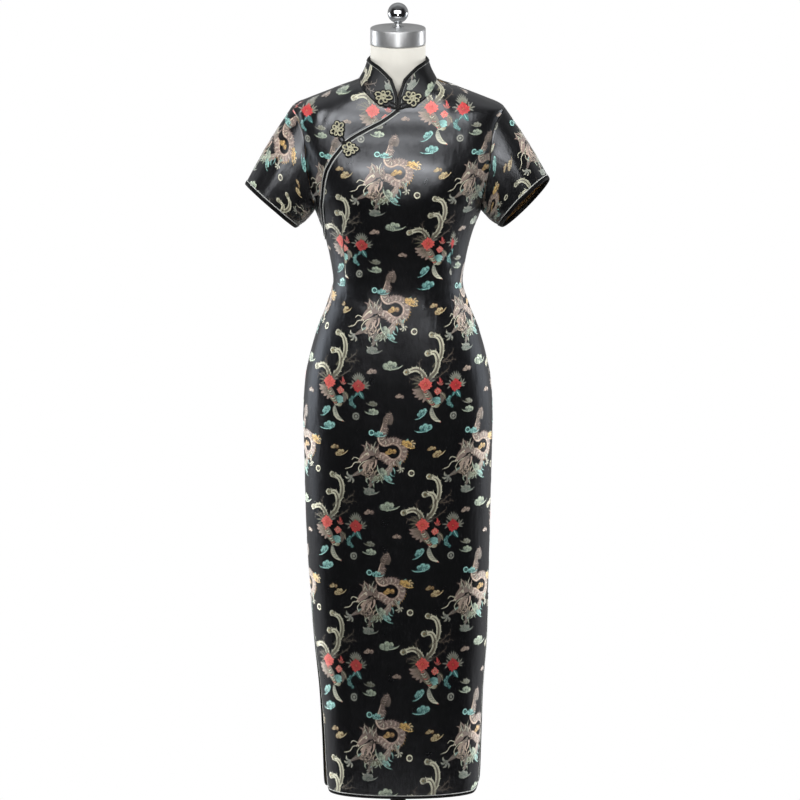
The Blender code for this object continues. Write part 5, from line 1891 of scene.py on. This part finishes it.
def binding(name, node, run, width, closed=False):
    bm = bmesh.new()
    band(bm, *run, [(a * width, b) for a, b in BINDING_ROLL], closed)
    return finished(name, bm, ["binding"], 50, node)


def highlight_piping(name, run, width, lines, closed=False):
    """Cords along a binding, pale as a painted highlight on black satin. lines holds (inwards as a share of
    its width, upwards, radius).
    """
    bm = bmesh.new()
    line, up, inside = run
    for share, height, radius in lines:
        tube(bm, line + inside * width * share + up * height, radius, closed, ups=up)
    return finished(name, bm, ["highlight_piping"], 60)


def trimmed_piece(name, node, edges, ground="ground", closed=False):
    """A piece of brocade, then its figures, bindings and pale cords (a painted highlight), which go with it.

    Each of its edges has the names of its pieces, its places, its binding's width and its lines of pale
    cord, a painted highlight.
    """
    o = cloth_piece(name, node, ground, closed)
    pieces = [lay_figures(name, node)]
    for names, places, width, lines in edges:
        run = edge_run(name, places, closed)
        pieces.append(binding(names.format("edge"), names.format("binding"), run, width, closed))
        pieces.append(highlight_piping(names.format("highlight_piping"), run, width, lines, closed))
    return o, pieces


# Frog buttons


@functools.lru_cache(maxsize=None)
def front_tree():
    """The outer surface of everything that the frogs lie on."""
    points, polygons = [], []
    for name in ("front", "underlap", "collar"):
        grid = cloth()[name][0]
        polygons += (np.stack(cells(*grid.shape[:2]), axis=1) + len(points)).tolist()
        points += grid.reshape(-1, 3).tolist()
    return BVHTree.FromPolygons(points, polygons)


def plane_at(x, z):
    """The point of the front at x and a height above the hem, and the directions across, up and out."""
    spot, n, _, _ = front_tree().ray_cast(Vector((x, -1.0, z + HEM_HEIGHT)), Vector((0, 1, 0)))
    n = np.array(n) * (-1 if n.y > 0 else 1)
    side = unit(np.cross(n, [0, 0, 1]))
    side *= np.sign(side[0])
    up = np.cross(n, side)
    up *= np.sign(up[2])
    return np.array(spot), side, up, n


def laid_on_front(plane, places, lift):
    """Flat places round a point of the front, brought on to the cloth and lifted off it."""
    spot, side, up, n = plane
    found = []
    for (a, b), rise in zip(places, np.broadcast_to(lift, len(places))):
        flat = spot + side * a + up * b
        near = np.array(front_tree().find_nearest(Vector(flat))[0])
        found.append(flat + n * (np.dot(near - flat, n) + rise))
    return np.array(found)


def flower(turn, flip):
    """The cords of a frog's flower, with a reach of 1: hooked petals round a coiled heart."""
    cords = []
    for k in range(FROG_PETALS):
        start = math.radians(turn) + k * math.tau / FROG_PETALS
        u = np.linspace(0, 1, 18)
        hooked = start + FROG_HOOK[0] + math.radians(FROG_HOOK[1]) * u ** FROG_HOOK[2]
        step = FROG_PETAL_LENGTH * (1 + FROG_UNEVEN * (-1) ** k) / 17
        moves = np.cumsum(heading(hooked)[:-1] * step, axis=0)
        cords.append(heading(start) * FROG_HEART + np.vstack([[0, 0], moves]))
    u = np.linspace(0, 1, 22)
    reach = FROG_HEART * (1.15 - 0.95 * u)
    cords.append(heading(math.radians(turn) + u * FROG_COIL * math.tau) * reach[:, None])
    return [c * [flip, 1] for c in cords]


def frog_button(node, x, z, reach_across, reach_up, turn, flip):
    """A flower of gold cord over the same flower in thicker black cord."""
    plane = plane_at(x, z)
    gold, black = bmesh.new(), bmesh.new()
    for k, line in enumerate(flower(turn, flip)):
        places = line * [reach_across, reach_up]
        arch = FROG_LIFT + FROG_STEP * (k % 3)
        tube(gold, laid_on_front(plane, places, arch), FROG_CORD, ups=plane[3])
        base = laid_on_front(plane, places * FROG_BACK_SIZE, arch - FROG_CORD)
        tube(black, base, FROG_BACK_CORD, squash=FROG_BACK_FLAT, ups=plane[3])
    finished(f"{node}_backing", black, ["frog_black"], 60)
    finished(f"{node}_cord", gold, ["frog_gold"], 60, node)


def knot_button(node, x, z, towards):
    """A ball of knotted black cord, held by a loop from one flower and sewn on by the other."""
    plane = plane_at(x, z)
    spot, side, up, n = plane
    centre = spot + n * KNOT_RADIUS
    bm = bmesh.new()
    bmesh.ops.create_icosphere(bm, subdivisions=3, radius=KNOT_RADIUS * KNOT_CORE)
    bmesh.ops.translate(bm, verts=bm.verts, vec=Vector(centre))
    turn = np.linspace(0, math.tau, 29)[:-1, None]
    tilt = math.radians(KNOT_TILT)
    for k in range(KNOT_WRAPS):
        a = 2 * k * math.pi / KNOT_WRAPS
        axis = (side * math.cos(a) + up * math.sin(a)) * math.sin(tilt) + n * math.cos(tilt)
        first = unit(np.cross(axis, [0.3, 0.5, 0.8]))  # any direction square to the axis
        wrap = np.cos(turn) * first + np.sin(turn) * np.cross(axis, first)
        tube(bm, centre + wrap * KNOT_RADIUS * KNOT_WRAP, KNOT_RADIUS * KNOT_WRAP_CORD, closed=True)
    s = np.linspace(0, 0.8, 12)[:, None]
    lift = KNOT_LIFT + KNOT_ARCH * np.sin(np.linspace(0, math.pi, 12))
    for other in towards:
        end = np.subtract(other, (x, z))
        for offset in (-KNOT_LOOP, KNOT_LOOP):
            bow = unit(left_of(end)) * offset
            places = end * s + bow * (0.3 + 1.1 * np.sin(math.pi * s))
            tube(bm, laid_on_front(plane, places, lift), KNOT_CORD, ups=n)
    finished(f"{node}_cord", bm, ["frog_black"], 60, node)


# The dress form and its stand


def turned(name, node, profile, sides, surface):
    """A solid of revolution about the vertical line through the origin, from (radius, height) pairs."""
    bm = bmesh.new()
    bmesh.ops.create_grid(bm, x_segments=len(profile) - 1, y_segments=1, size=1)
    bm.verts.ensure_lookup_table()
    bmesh.ops.delete(bm, geom=bm.verts[len(profile) :], context="VERTS")
    for vert, (r, z) in zip(bm.verts, profile):
        vert.co = (r, 0, z)
    around = {"cent": (0, 0, 0), "axis": (0, 0, 1), "angle": math.tau}
    bmesh.ops.spin(bm, geom=[*bm.verts, *bm.edges], steps=sides, use_merge=True, **around)
    bmesh.ops.remove_doubles(bm, verts=bm.verts, dist=1e-6)
    bmesh.ops.recalc_face_normals(bm, faces=bm.faces)
    finished(name, bm, [surface], 35, node)


def arc(centre_r, centre_z, radius, start, end, steps):
    """(radius, height) pairs along an arc, with its angles in degrees from the outward side."""
    turn = np.radians(np.linspace(start, end, steps + 1))
    return [(centre_r + radius * math.cos(a), centre_z + radius * math.sin(a)) for a in turn]


def form_ring(z, shrink=0.0):
    """A level section of the dress form, made smaller all round for the bevel."""
    turn = np.arange(FORM_FINE_SIDES + 1) * math.tau / FORM_FINE_SIDES
    width, front, back, square, _ = sections([z + FORM_DROP])[0]
    inset, inset_front, inset_back = form_insets([z])[0]
    c, s = np.cos(turn), np.sin(turn)
    depth = np.where(s < 0, front - inset_front, back - inset_back)
    x = (width - inset - shrink) * np.sign(c) * np.abs(c) ** (2 / square)
    y = (depth - shrink) * np.sign(s) * np.abs(s) ** (2 / square)
    full = np.where(s < 0, FORM_BUST * bust(x, z), 0) * np.abs(s)
    return np.stack([x, y - full, np.full(len(turn), z + HEM_HEIGHT)], axis=1)


def dress_form():
    """One smooth solid inside the dress, with a bevelled flat bottom and the neck's flat top."""
    rings = []
    for a in np.radians([0, 30, 60, 90]):
        rings.append(form_ring(FORM_BOTTOM + FORM_EDGE * (1 - math.cos(a)), FORM_EDGE * (1 - math.sin(a))))
    rings += [form_ring(z) for z in np.arange(FORM_BOTTOM + 2 * FORM_EDGE, FORM_TOP, FORM_FINE_STEP)]
    rings.append(form_ring(FORM_TOP))
    bm = bmesh.new()
    made = grid_mesh(bm, np.array(rings))
    bmesh.ops.remove_doubles(bm, verts=made, dist=1e-6)
    bmesh.ops.holes_fill(bm, edges=[e for e in bm.edges if e.is_boundary], sides=0)
    bmesh.ops.recalc_face_normals(bm, faces=bm.faces)
    finished("dress_form_cover", bm, ["form"], 50, "dress_form")


def cap_and_ball():
    """The cap on the form's neck, and the ball on its short stem."""
    low, high = HEM_HEIGHT + FORM_TOP + SEAM_GAP, HEM_HEIGHT + CAP_TOP
    inner = CAP_RADIUS - CAP_EDGE
    rim = arc(inner, low + CAP_EDGE, CAP_EDGE, -90, 0, 6)
    brim = arc(inner, high - CAP_EDGE, CAP_EDGE, 0, 90, 6)
    dome = [(inner * s, high + CAP_DOME * (1 - s * s)) for s in (0.75, 0.5, 0.25, 0.0)]
    turned("neck_cap_turned", "neck_cap", [(0, low), *rim, *brim, *dome], 128, "brushed")
    foot = high + CAP_DOME + SEAM_GAP
    ball = arc(0, HEM_HEIGHT + BALL_CENTRE, BALL_RADIUS, BALL_CUT, 90, 40)
    flare = arc(STEM_FOOT_RADIUS, foot + STEM_TAPER_HEIGHT, STEM_FOOT_RADIUS - STEM_RADIUS, 255, 180, 5)
    stem = [(0, foot), (STEM_FOOT_RADIUS, foot), (STEM_FOOT_RADIUS, foot + STEM_FOOT_HEIGHT * 0.5), *flare]
    turned("finial_ball", "finial", [*stem, *ball[:-1], (0, ball[-1][1])], 96, "polished")


def pole_and_base():
    """The round base with its hub, and the pole up to the form."""
    hub = BASE_THICK + HUB_HEIGHT
    edge = arc(BASE_RADIUS - BASE_EDGE, BASE_THICK - BASE_EDGE, BASE_EDGE, 0, 90, 6)
    top = HUB_RADIUS * HUB_TAPER
    cone = [(HUB_RADIUS, BASE_THICK), (top + HUB_EDGE[0], hub - HUB_EDGE[1]), (top, hub), (0, hub)]
    turned("stand_base_plate", "stand_base", [(0, 0), (BASE_RADIUS, 0), *edge, *cone], 128, "painted")
    low, high = hub + SEAM_GAP, HEM_HEIGHT + FORM_BOTTOM - SEAM_GAP
    profile = [(0, low), (POLE_RADIUS, low), (POLE_RADIUS, high), (0, high)]
    turned("stand_pole_tube", "stand_pole", profile, 64, "painted")


# The stage


def aimed(name, place, target, size, energy):
    """A soft rectangular light that faces a point."""
    light = bpy.data.lights.new(name, "AREA")
    light.shape = "RECTANGLE"
    light.size, light.size_y = size
    light.energy = energy
    o = bpy.data.objects.new(name, light)
    o.visible_camera = False
    bpy.context.collection.objects.link(o)
    o.location = place
    o.rotation_euler = (Vector(target) - Vector(place)).to_track_quat("-Z", "Y").to_euler()
    return o


def studio_air():
    """A white room: bright overhead and behind the dress, and dim low down in front of it."""
    look = bpy.context.scene.cheongsam_stage
    world = bpy.data.worlds.new("studio")
    bpy.context.scene.world = world
    world.use_nodes = True
    air = Nodes(world.node_tree)
    air.tree.nodes.clear()
    direction = air.node("ShaderNodeTexCoord").outputs["Generated"]
    parts = air.node("ShaderNodeSeparateXYZ", input0=direction).outputs

    def fading(value, reach, low, high):
        ends = {"From_Min": reach[0], "From_Max": reach[1], "To_Min": low, "To_Max": high}
        soft = {"interpolation_type": "SMOOTHSTEP"}
        return air.node("ShaderNodeMapRange", soft, Value=value, **ends).outputs[0]

    overhead = fading(parts["Z"], look.overhead_from, 0.0, look.overhead)
    behind = fading(parts["Y"], look.behind_from, look.in_front, look.behind)
    total = air.plus(overhead, behind)
    room = air.node("ShaderNodeBackground", Color=(1, 1, 1, 1), Strength=total).outputs[0]
    backdrop = air.node("ShaderNodeBackground", Color=(1, 1, 1, 1), Strength=1.0).outputs[0]
    seen = air.node("ShaderNodeLightPath").outputs["Is Camera Ray"]
    shown = air.node("ShaderNodeMixShader", input0=seen, input1=room, input2=backdrop).outputs[0]
    air.node("ShaderNodeOutputWorld", input0=shown)


def floor_disc():
    """A plain pale disc that the base stands on."""
    look = bpy.context.scene.cheongsam_stage
    bm = bmesh.new()
    bmesh.ops.create_circle(bm, cap_ends=True, segments=96, radius=look.floor_radius)
    mesh = bpy.data.meshes.new("floor")
    bm.to_mesh(mesh)
    bm.free()
    made = Finish("floor_paint", look.floor, 0.8)
    made.dullness(made.noise(made.coordinates("Object"), 60.0), 0.7, 0.9)
    mesh.materials.append(made.material)
    floor = bpy.data.objects.new("floor", mesh)
    floor.location.z = -FLOOR_DROP
    bpy.context.collection.objects.link(floor)


def studio_lights():
    """Soft boxes in front and high up, strips at the sides, and small lights for the cap."""
    look = bpy.context.scene.cheongsam_stage
    aimed("chest_box", (-0.15, -1.5, 2.13), (-0.05, -0.2, 1.85), (2.5, 1.02), look.chest_power)
    for side, name, power in ((-1, "left", look.side_power), (1, "right", look.side_power * 0.5)):
        key = aimed(f"key_{name}", (side * 1.3, -1.7, 3.3), (0, 0, 0.8), (1.0, 1.0), look.key_power)
        key.visible_glossy = False  # these light the threads and the jersey without a shine on the satin
        strip = aimed(f"strip_{name}", (side * 1.6, 0.62, 0.95), (0, 0, 0.9), (1.1, 0.9), power)
        strip.data.color = look.side_colour
        glint = aimed(f"glint_{name}", (side * 1.5, 0.6, 0.6), (0, 0, 0.6), (0.6, 0.9), look.glint_power)
        glint.data.spread = math.radians(80)
        glint.visible_glossy = False  # these lighten the threads along the sides
    for x, y, width, times in CAP_LIGHTS:
        glow = aimed("cap_glow", (x, y, 1.35), (0, 0, 1.54), (width, 0.3), look.cap_power * times)
        glow.data.spread = math.radians(30)
        glow.visible_diffuse = False  # these show only as a shine on the cap and the ball


def studio_camera():
    """A long lens, so far away that the view's height fills the picture."""
    look = bpy.context.scene.cheongsam_stage
    camera = bpy.data.cameras.new("camera")
    camera.sensor_width = 36
    camera.lens = look.lens
    camera.clip_end = 100
    o = bpy.data.objects.new("camera", camera)
    bpy.context.collection.objects.link(o)
    distance = VIEW_HEIGHT / camera.sensor_width * camera.lens
    tilt = math.radians(look.elevation)
    o.location = Vector(VIEW_CENTRE) + Vector((0, -math.cos(tilt), math.sin(tilt))) * distance
    o.rotation_euler = (math.pi / 2 - tilt, 0, 0)
    bpy.context.scene.camera = o
    bpy.context.scene.view_settings.view_transform = "Standard"


# Settings that a user would change


def linear(*display):
    """An eight-bit display colour as linear values."""
    shares = np.array(display) / 255
    return tuple(np.where(shares <= 0.04045, shares / 12.92, ((shares + 0.055) / 1.055) ** 2.4))


def colour(name, description, *display):
    return bpy.props.FloatVectorProperty(
        name=name, description=description, subtype="COLOR", size=3, min=0, max=1, default=linear(*display)
    )


def number(name, description, value, **facts):
    return bpy.props.FloatProperty(name=name, description=description, default=value, **facts)


def share(name, description, value):
    return number(name, description, value, min=0, max=1, subtype="FACTOR")


def reach(name, description, *ends):
    return bpy.props.FloatVectorProperty(name=name, description=description, size=2, default=ends)


class CheongsamThreads(bpy.types.PropertyGroup):
    red: colour("Red", "Petals of the second peony and hollows of the other two", 202, 56, 56)
    crimson: colour("Crimson", "Hollows of the second peony", 170, 38, 44)
    coral: colour("Coral", "Petals of the large and the small peony", 228, 102, 92)
    pink_cream: colour("Pink cream", "Scales and the edges of petals", 206, 183, 162)
    mauve: colour("Mauve", "The phoenix's back and the dragon", 116, 101, 94)
    brown: colour("Brown", "The dragon, twigs and dark leaves", 90, 80, 70)
    olive: colour("Olive", "Leaves and dull clouds", 100, 100, 80)
    grey: colour("Grey", "Claws, rings and pale leaves", 140, 142, 132)
    slate: colour("Slate", "Body of the pale clouds", 98, 112, 102)
    cream: colour("Cream", "Edges and tips of the plumes", 216, 214, 188)
    green_cream: colour("Green cream", "Edges of the pale clouds", 182, 194, 170)
    plume: colour("Plume", "Body of the tail feathers", 80, 80, 60)
    teal: colour("Teal", "Clouds", 46, 100, 100)
    pale_teal: colour("Pale teal", "Edges of the teal clouds", 150, 206, 198)
    gold: colour("Gold", "Bright metal thread", 236, 194, 112)
    straw: colour("Straw", "Edges of the small gold clouds", 212, 196, 150)
    dust: colour("Dust", "The dragon's scales and the phoenix's wing", 158, 136, 126)
    gold_brown: colour("Gold brown", "Clouds and the dragon's crest", 128, 100, 66)


class CheongsamCloth(bpy.types.PropertyGroup):
    ground: colour("Ground", "The satin between the figures", 7, 7, 8)
    ground_roughness: share("Ground roughness", "Dullness of the satin", 0.29)
    ground_gloss: colour("Ground gloss", "Tint of the satin's shine", 246, 249, 255)
    reverse: colour("Reverse", "The brocade's inside", 128, 98, 54)
    reverse_light: colour("Reverse, light", "Loose threads on the inside", 206, 158, 84)
    ground_index: number("Ground index", "Refractive index of the silk", 1.8, min=1, max=3)
    ripple: share("Ripple", "Depth of the soft ripples in the satin", 1.0)
    thread_roughness: share("Thread roughness", "Dullness of the figures", 0.33)
    thread_sheen: share("Thread sheen", "Glow of the figures at a slant", 0.75)
    thread_index: number("Thread index", "Refractive index of the figures' threads", 1.75, min=1, max=3)
    thread_period: number("Thread period", "From one thread to the next", 0.0007, unit="LENGTH", precision=5)
    binding: colour("Binding", "The satin round the edges", 7, 7, 8)
    binding_roughness: share("Binding roughness", "Dullness of the binding", 0.45)
    # pale colour of the cords: a painted highlight on black satin
    highlight_piping: colour("Piping", "The cords inside the bindings", 214, 217, 213)
    frog_gold: colour("Frog gold", "The flowers' cord", 236, 232, 200)


class CheongsamForm(bpy.types.PropertyGroup):
    cover: colour("Cover", "The dress form's jersey", 226, 223, 214)
    cover_roughness: share("Cover roughness", "Dullness of the jersey", 0.85)
    metal: colour("Cap", "The brushed cap", 230, 231, 232)
    chrome: colour("Ball", "The polished ball", 226, 228, 230)
    stand_paint: colour("Stand", "The pole and the base", 34, 34, 36)


class CheongsamStage(bpy.types.PropertyGroup):
    lens: number("Lens", "Focal length of the camera in millimetres", 600.0, min=50, max=2000)
    elevation: number("Elevation", "The camera above the horizon, in degrees", 11.0, min=0, max=60)
    floor: colour("Floor", "The plain pale floor", 216, 216, 216)
    floor_radius: number("Floor radius", "Radius of the floor", 0.36, unit="LENGTH")
    chest_power: number("Chest box", "Power of the light in front of the chest", 22.8, unit="POWER")
    key_power: number("Key lights", "Power of each high light", 41.0, unit="POWER")
    side_power: number("Side strips", "Power of each side light", 2.6, unit="POWER")
    glint_power: number("Glints", "Power of each light for the threads' sides", 17.0, unit="POWER")
    cap_power: number("Cap lights", "Power of the cap's small lights", 0.03, unit="POWER", precision=3)
    side_colour: colour("Side colour", "Tint of the side lights", 236, 245, 255)
    overhead: number("Overhead", "Light of the room from above", 0.12)
    behind: number("Behind", "Light of the room from behind", 0.28)
    in_front: number("In front", "Light of the room from the front", 0.018)
    overhead_from: reach("Overhead from", "Heights where the overhead light fades in", 0.55, 0.95)
    behind_from: reach("Behind from", "Where the light from behind fades in", -0.25, 0.55)


# Operators


class CHEONGSAM_OT_front_panel(bpy.types.Operator):
    """Make the front panel with its hem, slits and placket"""

    bl_idname = "cheongsam.front_panel"
    bl_label = "Front Panel"

    def execute(self, context):
        edges = (
            ("front_hem_{}", hem_places("front"), HEM_BAND, HEM_HIGHLIGHT_PIPING),
            ("placket_{}", placket_places(), PLACKET_BAND, PLACKET_HIGHLIGHT_PIPING),
        )
        o, pieces = trimmed_piece("front", "front_panel", edges)
        return {"FINISHED"}


class CHEONGSAM_OT_back_panel(bpy.types.Operator):
    """Make the back panel with its hem and slits"""

    bl_idname = "cheongsam.back_panel"
    bl_label = "Back Panel"

    def execute(self, context):
        hem = ("back_hem_{}", hem_places("back"), HEM_BAND, HEM_HIGHLIGHT_PIPING)
        o, pieces = trimmed_piece("back", "back_panel", [hem])
        return {"FINISHED"}


class CHEONGSAM_OT_underlap(bpy.types.Operator):
    """Make the yoke under the placket"""

    bl_idname = "cheongsam.underlap"
    bl_label = "Underlap"

    def execute(self, context):
        o, pieces = trimmed_piece("underlap", "underlap", [])
        return {"FINISHED"}


class CHEONGSAM_OT_sleeves(bpy.types.Operator):
    """Make both sleeves with their cuffs"""

    bl_idname = "cheongsam.sleeves"
    bl_label = "Sleeves"

    def execute(self, context):
        for side in ("left", "right"):
            name = f"sleeve_{side}"
            cuff = (f"cuff_{{}}_{side}", cuff_places(name), CUFF_BAND, CUFF_HIGHLIGHT_PIPING)
            o, pieces = trimmed_piece(name, name, [cuff], closed=True)
        return {"FINISHED"}


class CHEONGSAM_OT_collar(bpy.types.Operator):
    """Make the standing collar"""

    bl_idname = "cheongsam.collar"
    bl_label = "Collar"

    def execute(self, context):
        edge = ("collar_{}", collar_places(), COLLAR_BAND, COLLAR_HIGHLIGHT_PIPING)
        o, pieces = trimmed_piece("collar", "collar", [edge], "stiffened")
        return {"FINISHED"}


class CHEONGSAM_OT_frog_buttons(bpy.types.Operator):
    """Make the frog buttons' flowers and knots"""

    bl_idname = "cheongsam.frog_buttons"
    bl_label = "Frog Buttons"

    def execute(self, context):
        for row in FROGS:
            frog_button(*row)
        for node, x, z, *towards in KNOT_PLACES:
            knot_button(node, x, z, towards)
        return {"FINISHED"}


class CHEONGSAM_OT_dress_form(bpy.types.Operator):
    """Make the limbless dress form"""

    bl_idname = "cheongsam.dress_form"
    bl_label = "Dress Form"

    def execute(self, context):
        dress_form()
        return {"FINISHED"}


class CHEONGSAM_OT_cap_and_stand(bpy.types.Operator):
    """Make the cap, the ball, the pole and the base"""

    bl_idname = "cheongsam.cap_and_stand"
    bl_label = "Cap and Stand"

    def execute(self, context):
        cap_and_ball()
        pole_and_base()
        return {"FINISHED"}


class CHEONGSAM_OT_stage(bpy.types.Operator):
    """Make the floor, the lights and the camera"""

    bl_idname = "cheongsam.stage"
    bl_label = "Stage"

    def execute(self, context):
        floor_disc()
        studio_air()
        studio_lights()
        studio_camera()
        return {"FINISHED"}


OPERATORS = (
    CHEONGSAM_OT_dress_form,
    CHEONGSAM_OT_cap_and_stand,
    CHEONGSAM_OT_front_panel,
    CHEONGSAM_OT_back_panel,
    CHEONGSAM_OT_underlap,
    CHEONGSAM_OT_sleeves,
    CHEONGSAM_OT_collar,
    CHEONGSAM_OT_frog_buttons,
    CHEONGSAM_OT_stage,
)

SETTINGS = (
    ("cheongsam_cloth", CheongsamCloth),
    ("cheongsam_threads", CheongsamThreads),
    ("cheongsam_form", CheongsamForm),
    ("cheongsam_stage", CheongsamStage),
)


class CHEONGSAM_PT_dress(bpy.types.Panel):
    """The dress's pieces and settings"""

    bl_idname = "CHEONGSAM_PT_dress"
    bl_label = "Brocade Cheongsam"
    bl_space_type = "VIEW_3D"
    bl_region_type = "UI"
    bl_category = "Cheongsam"

    def draw(self, context):
        for operator in OPERATORS:
            self.layout.operator(operator.bl_idname)
        for name, group in SETTINGS:
            box = self.layout.box()
            for setting in group.__annotations__:
                box.prop(getattr(context.scene, name), setting)


def register():
    for name, group in SETTINGS:
        bpy.utils.register_class(group)
        setattr(bpy.types.Scene, name, bpy.props.PointerProperty(type=group))
    for made in (*OPERATORS, CHEONGSAM_PT_dress):
        bpy.utils.register_class(made)


def unregister():
    for made in (CHEONGSAM_PT_dress, *reversed(OPERATORS)):
        bpy.utils.unregister_class(made)
    for name, group in reversed(SETTINGS):
        delattr(bpy.types.Scene, name)
        bpy.utils.unregister_class(group)


def main():
    register()
    for operator in OPERATORS:
        family, name = operator.bl_idname.split(".")
        getattr(getattr(bpy.ops, family), name)()
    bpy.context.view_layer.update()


if __name__ == "__main__":
    main()
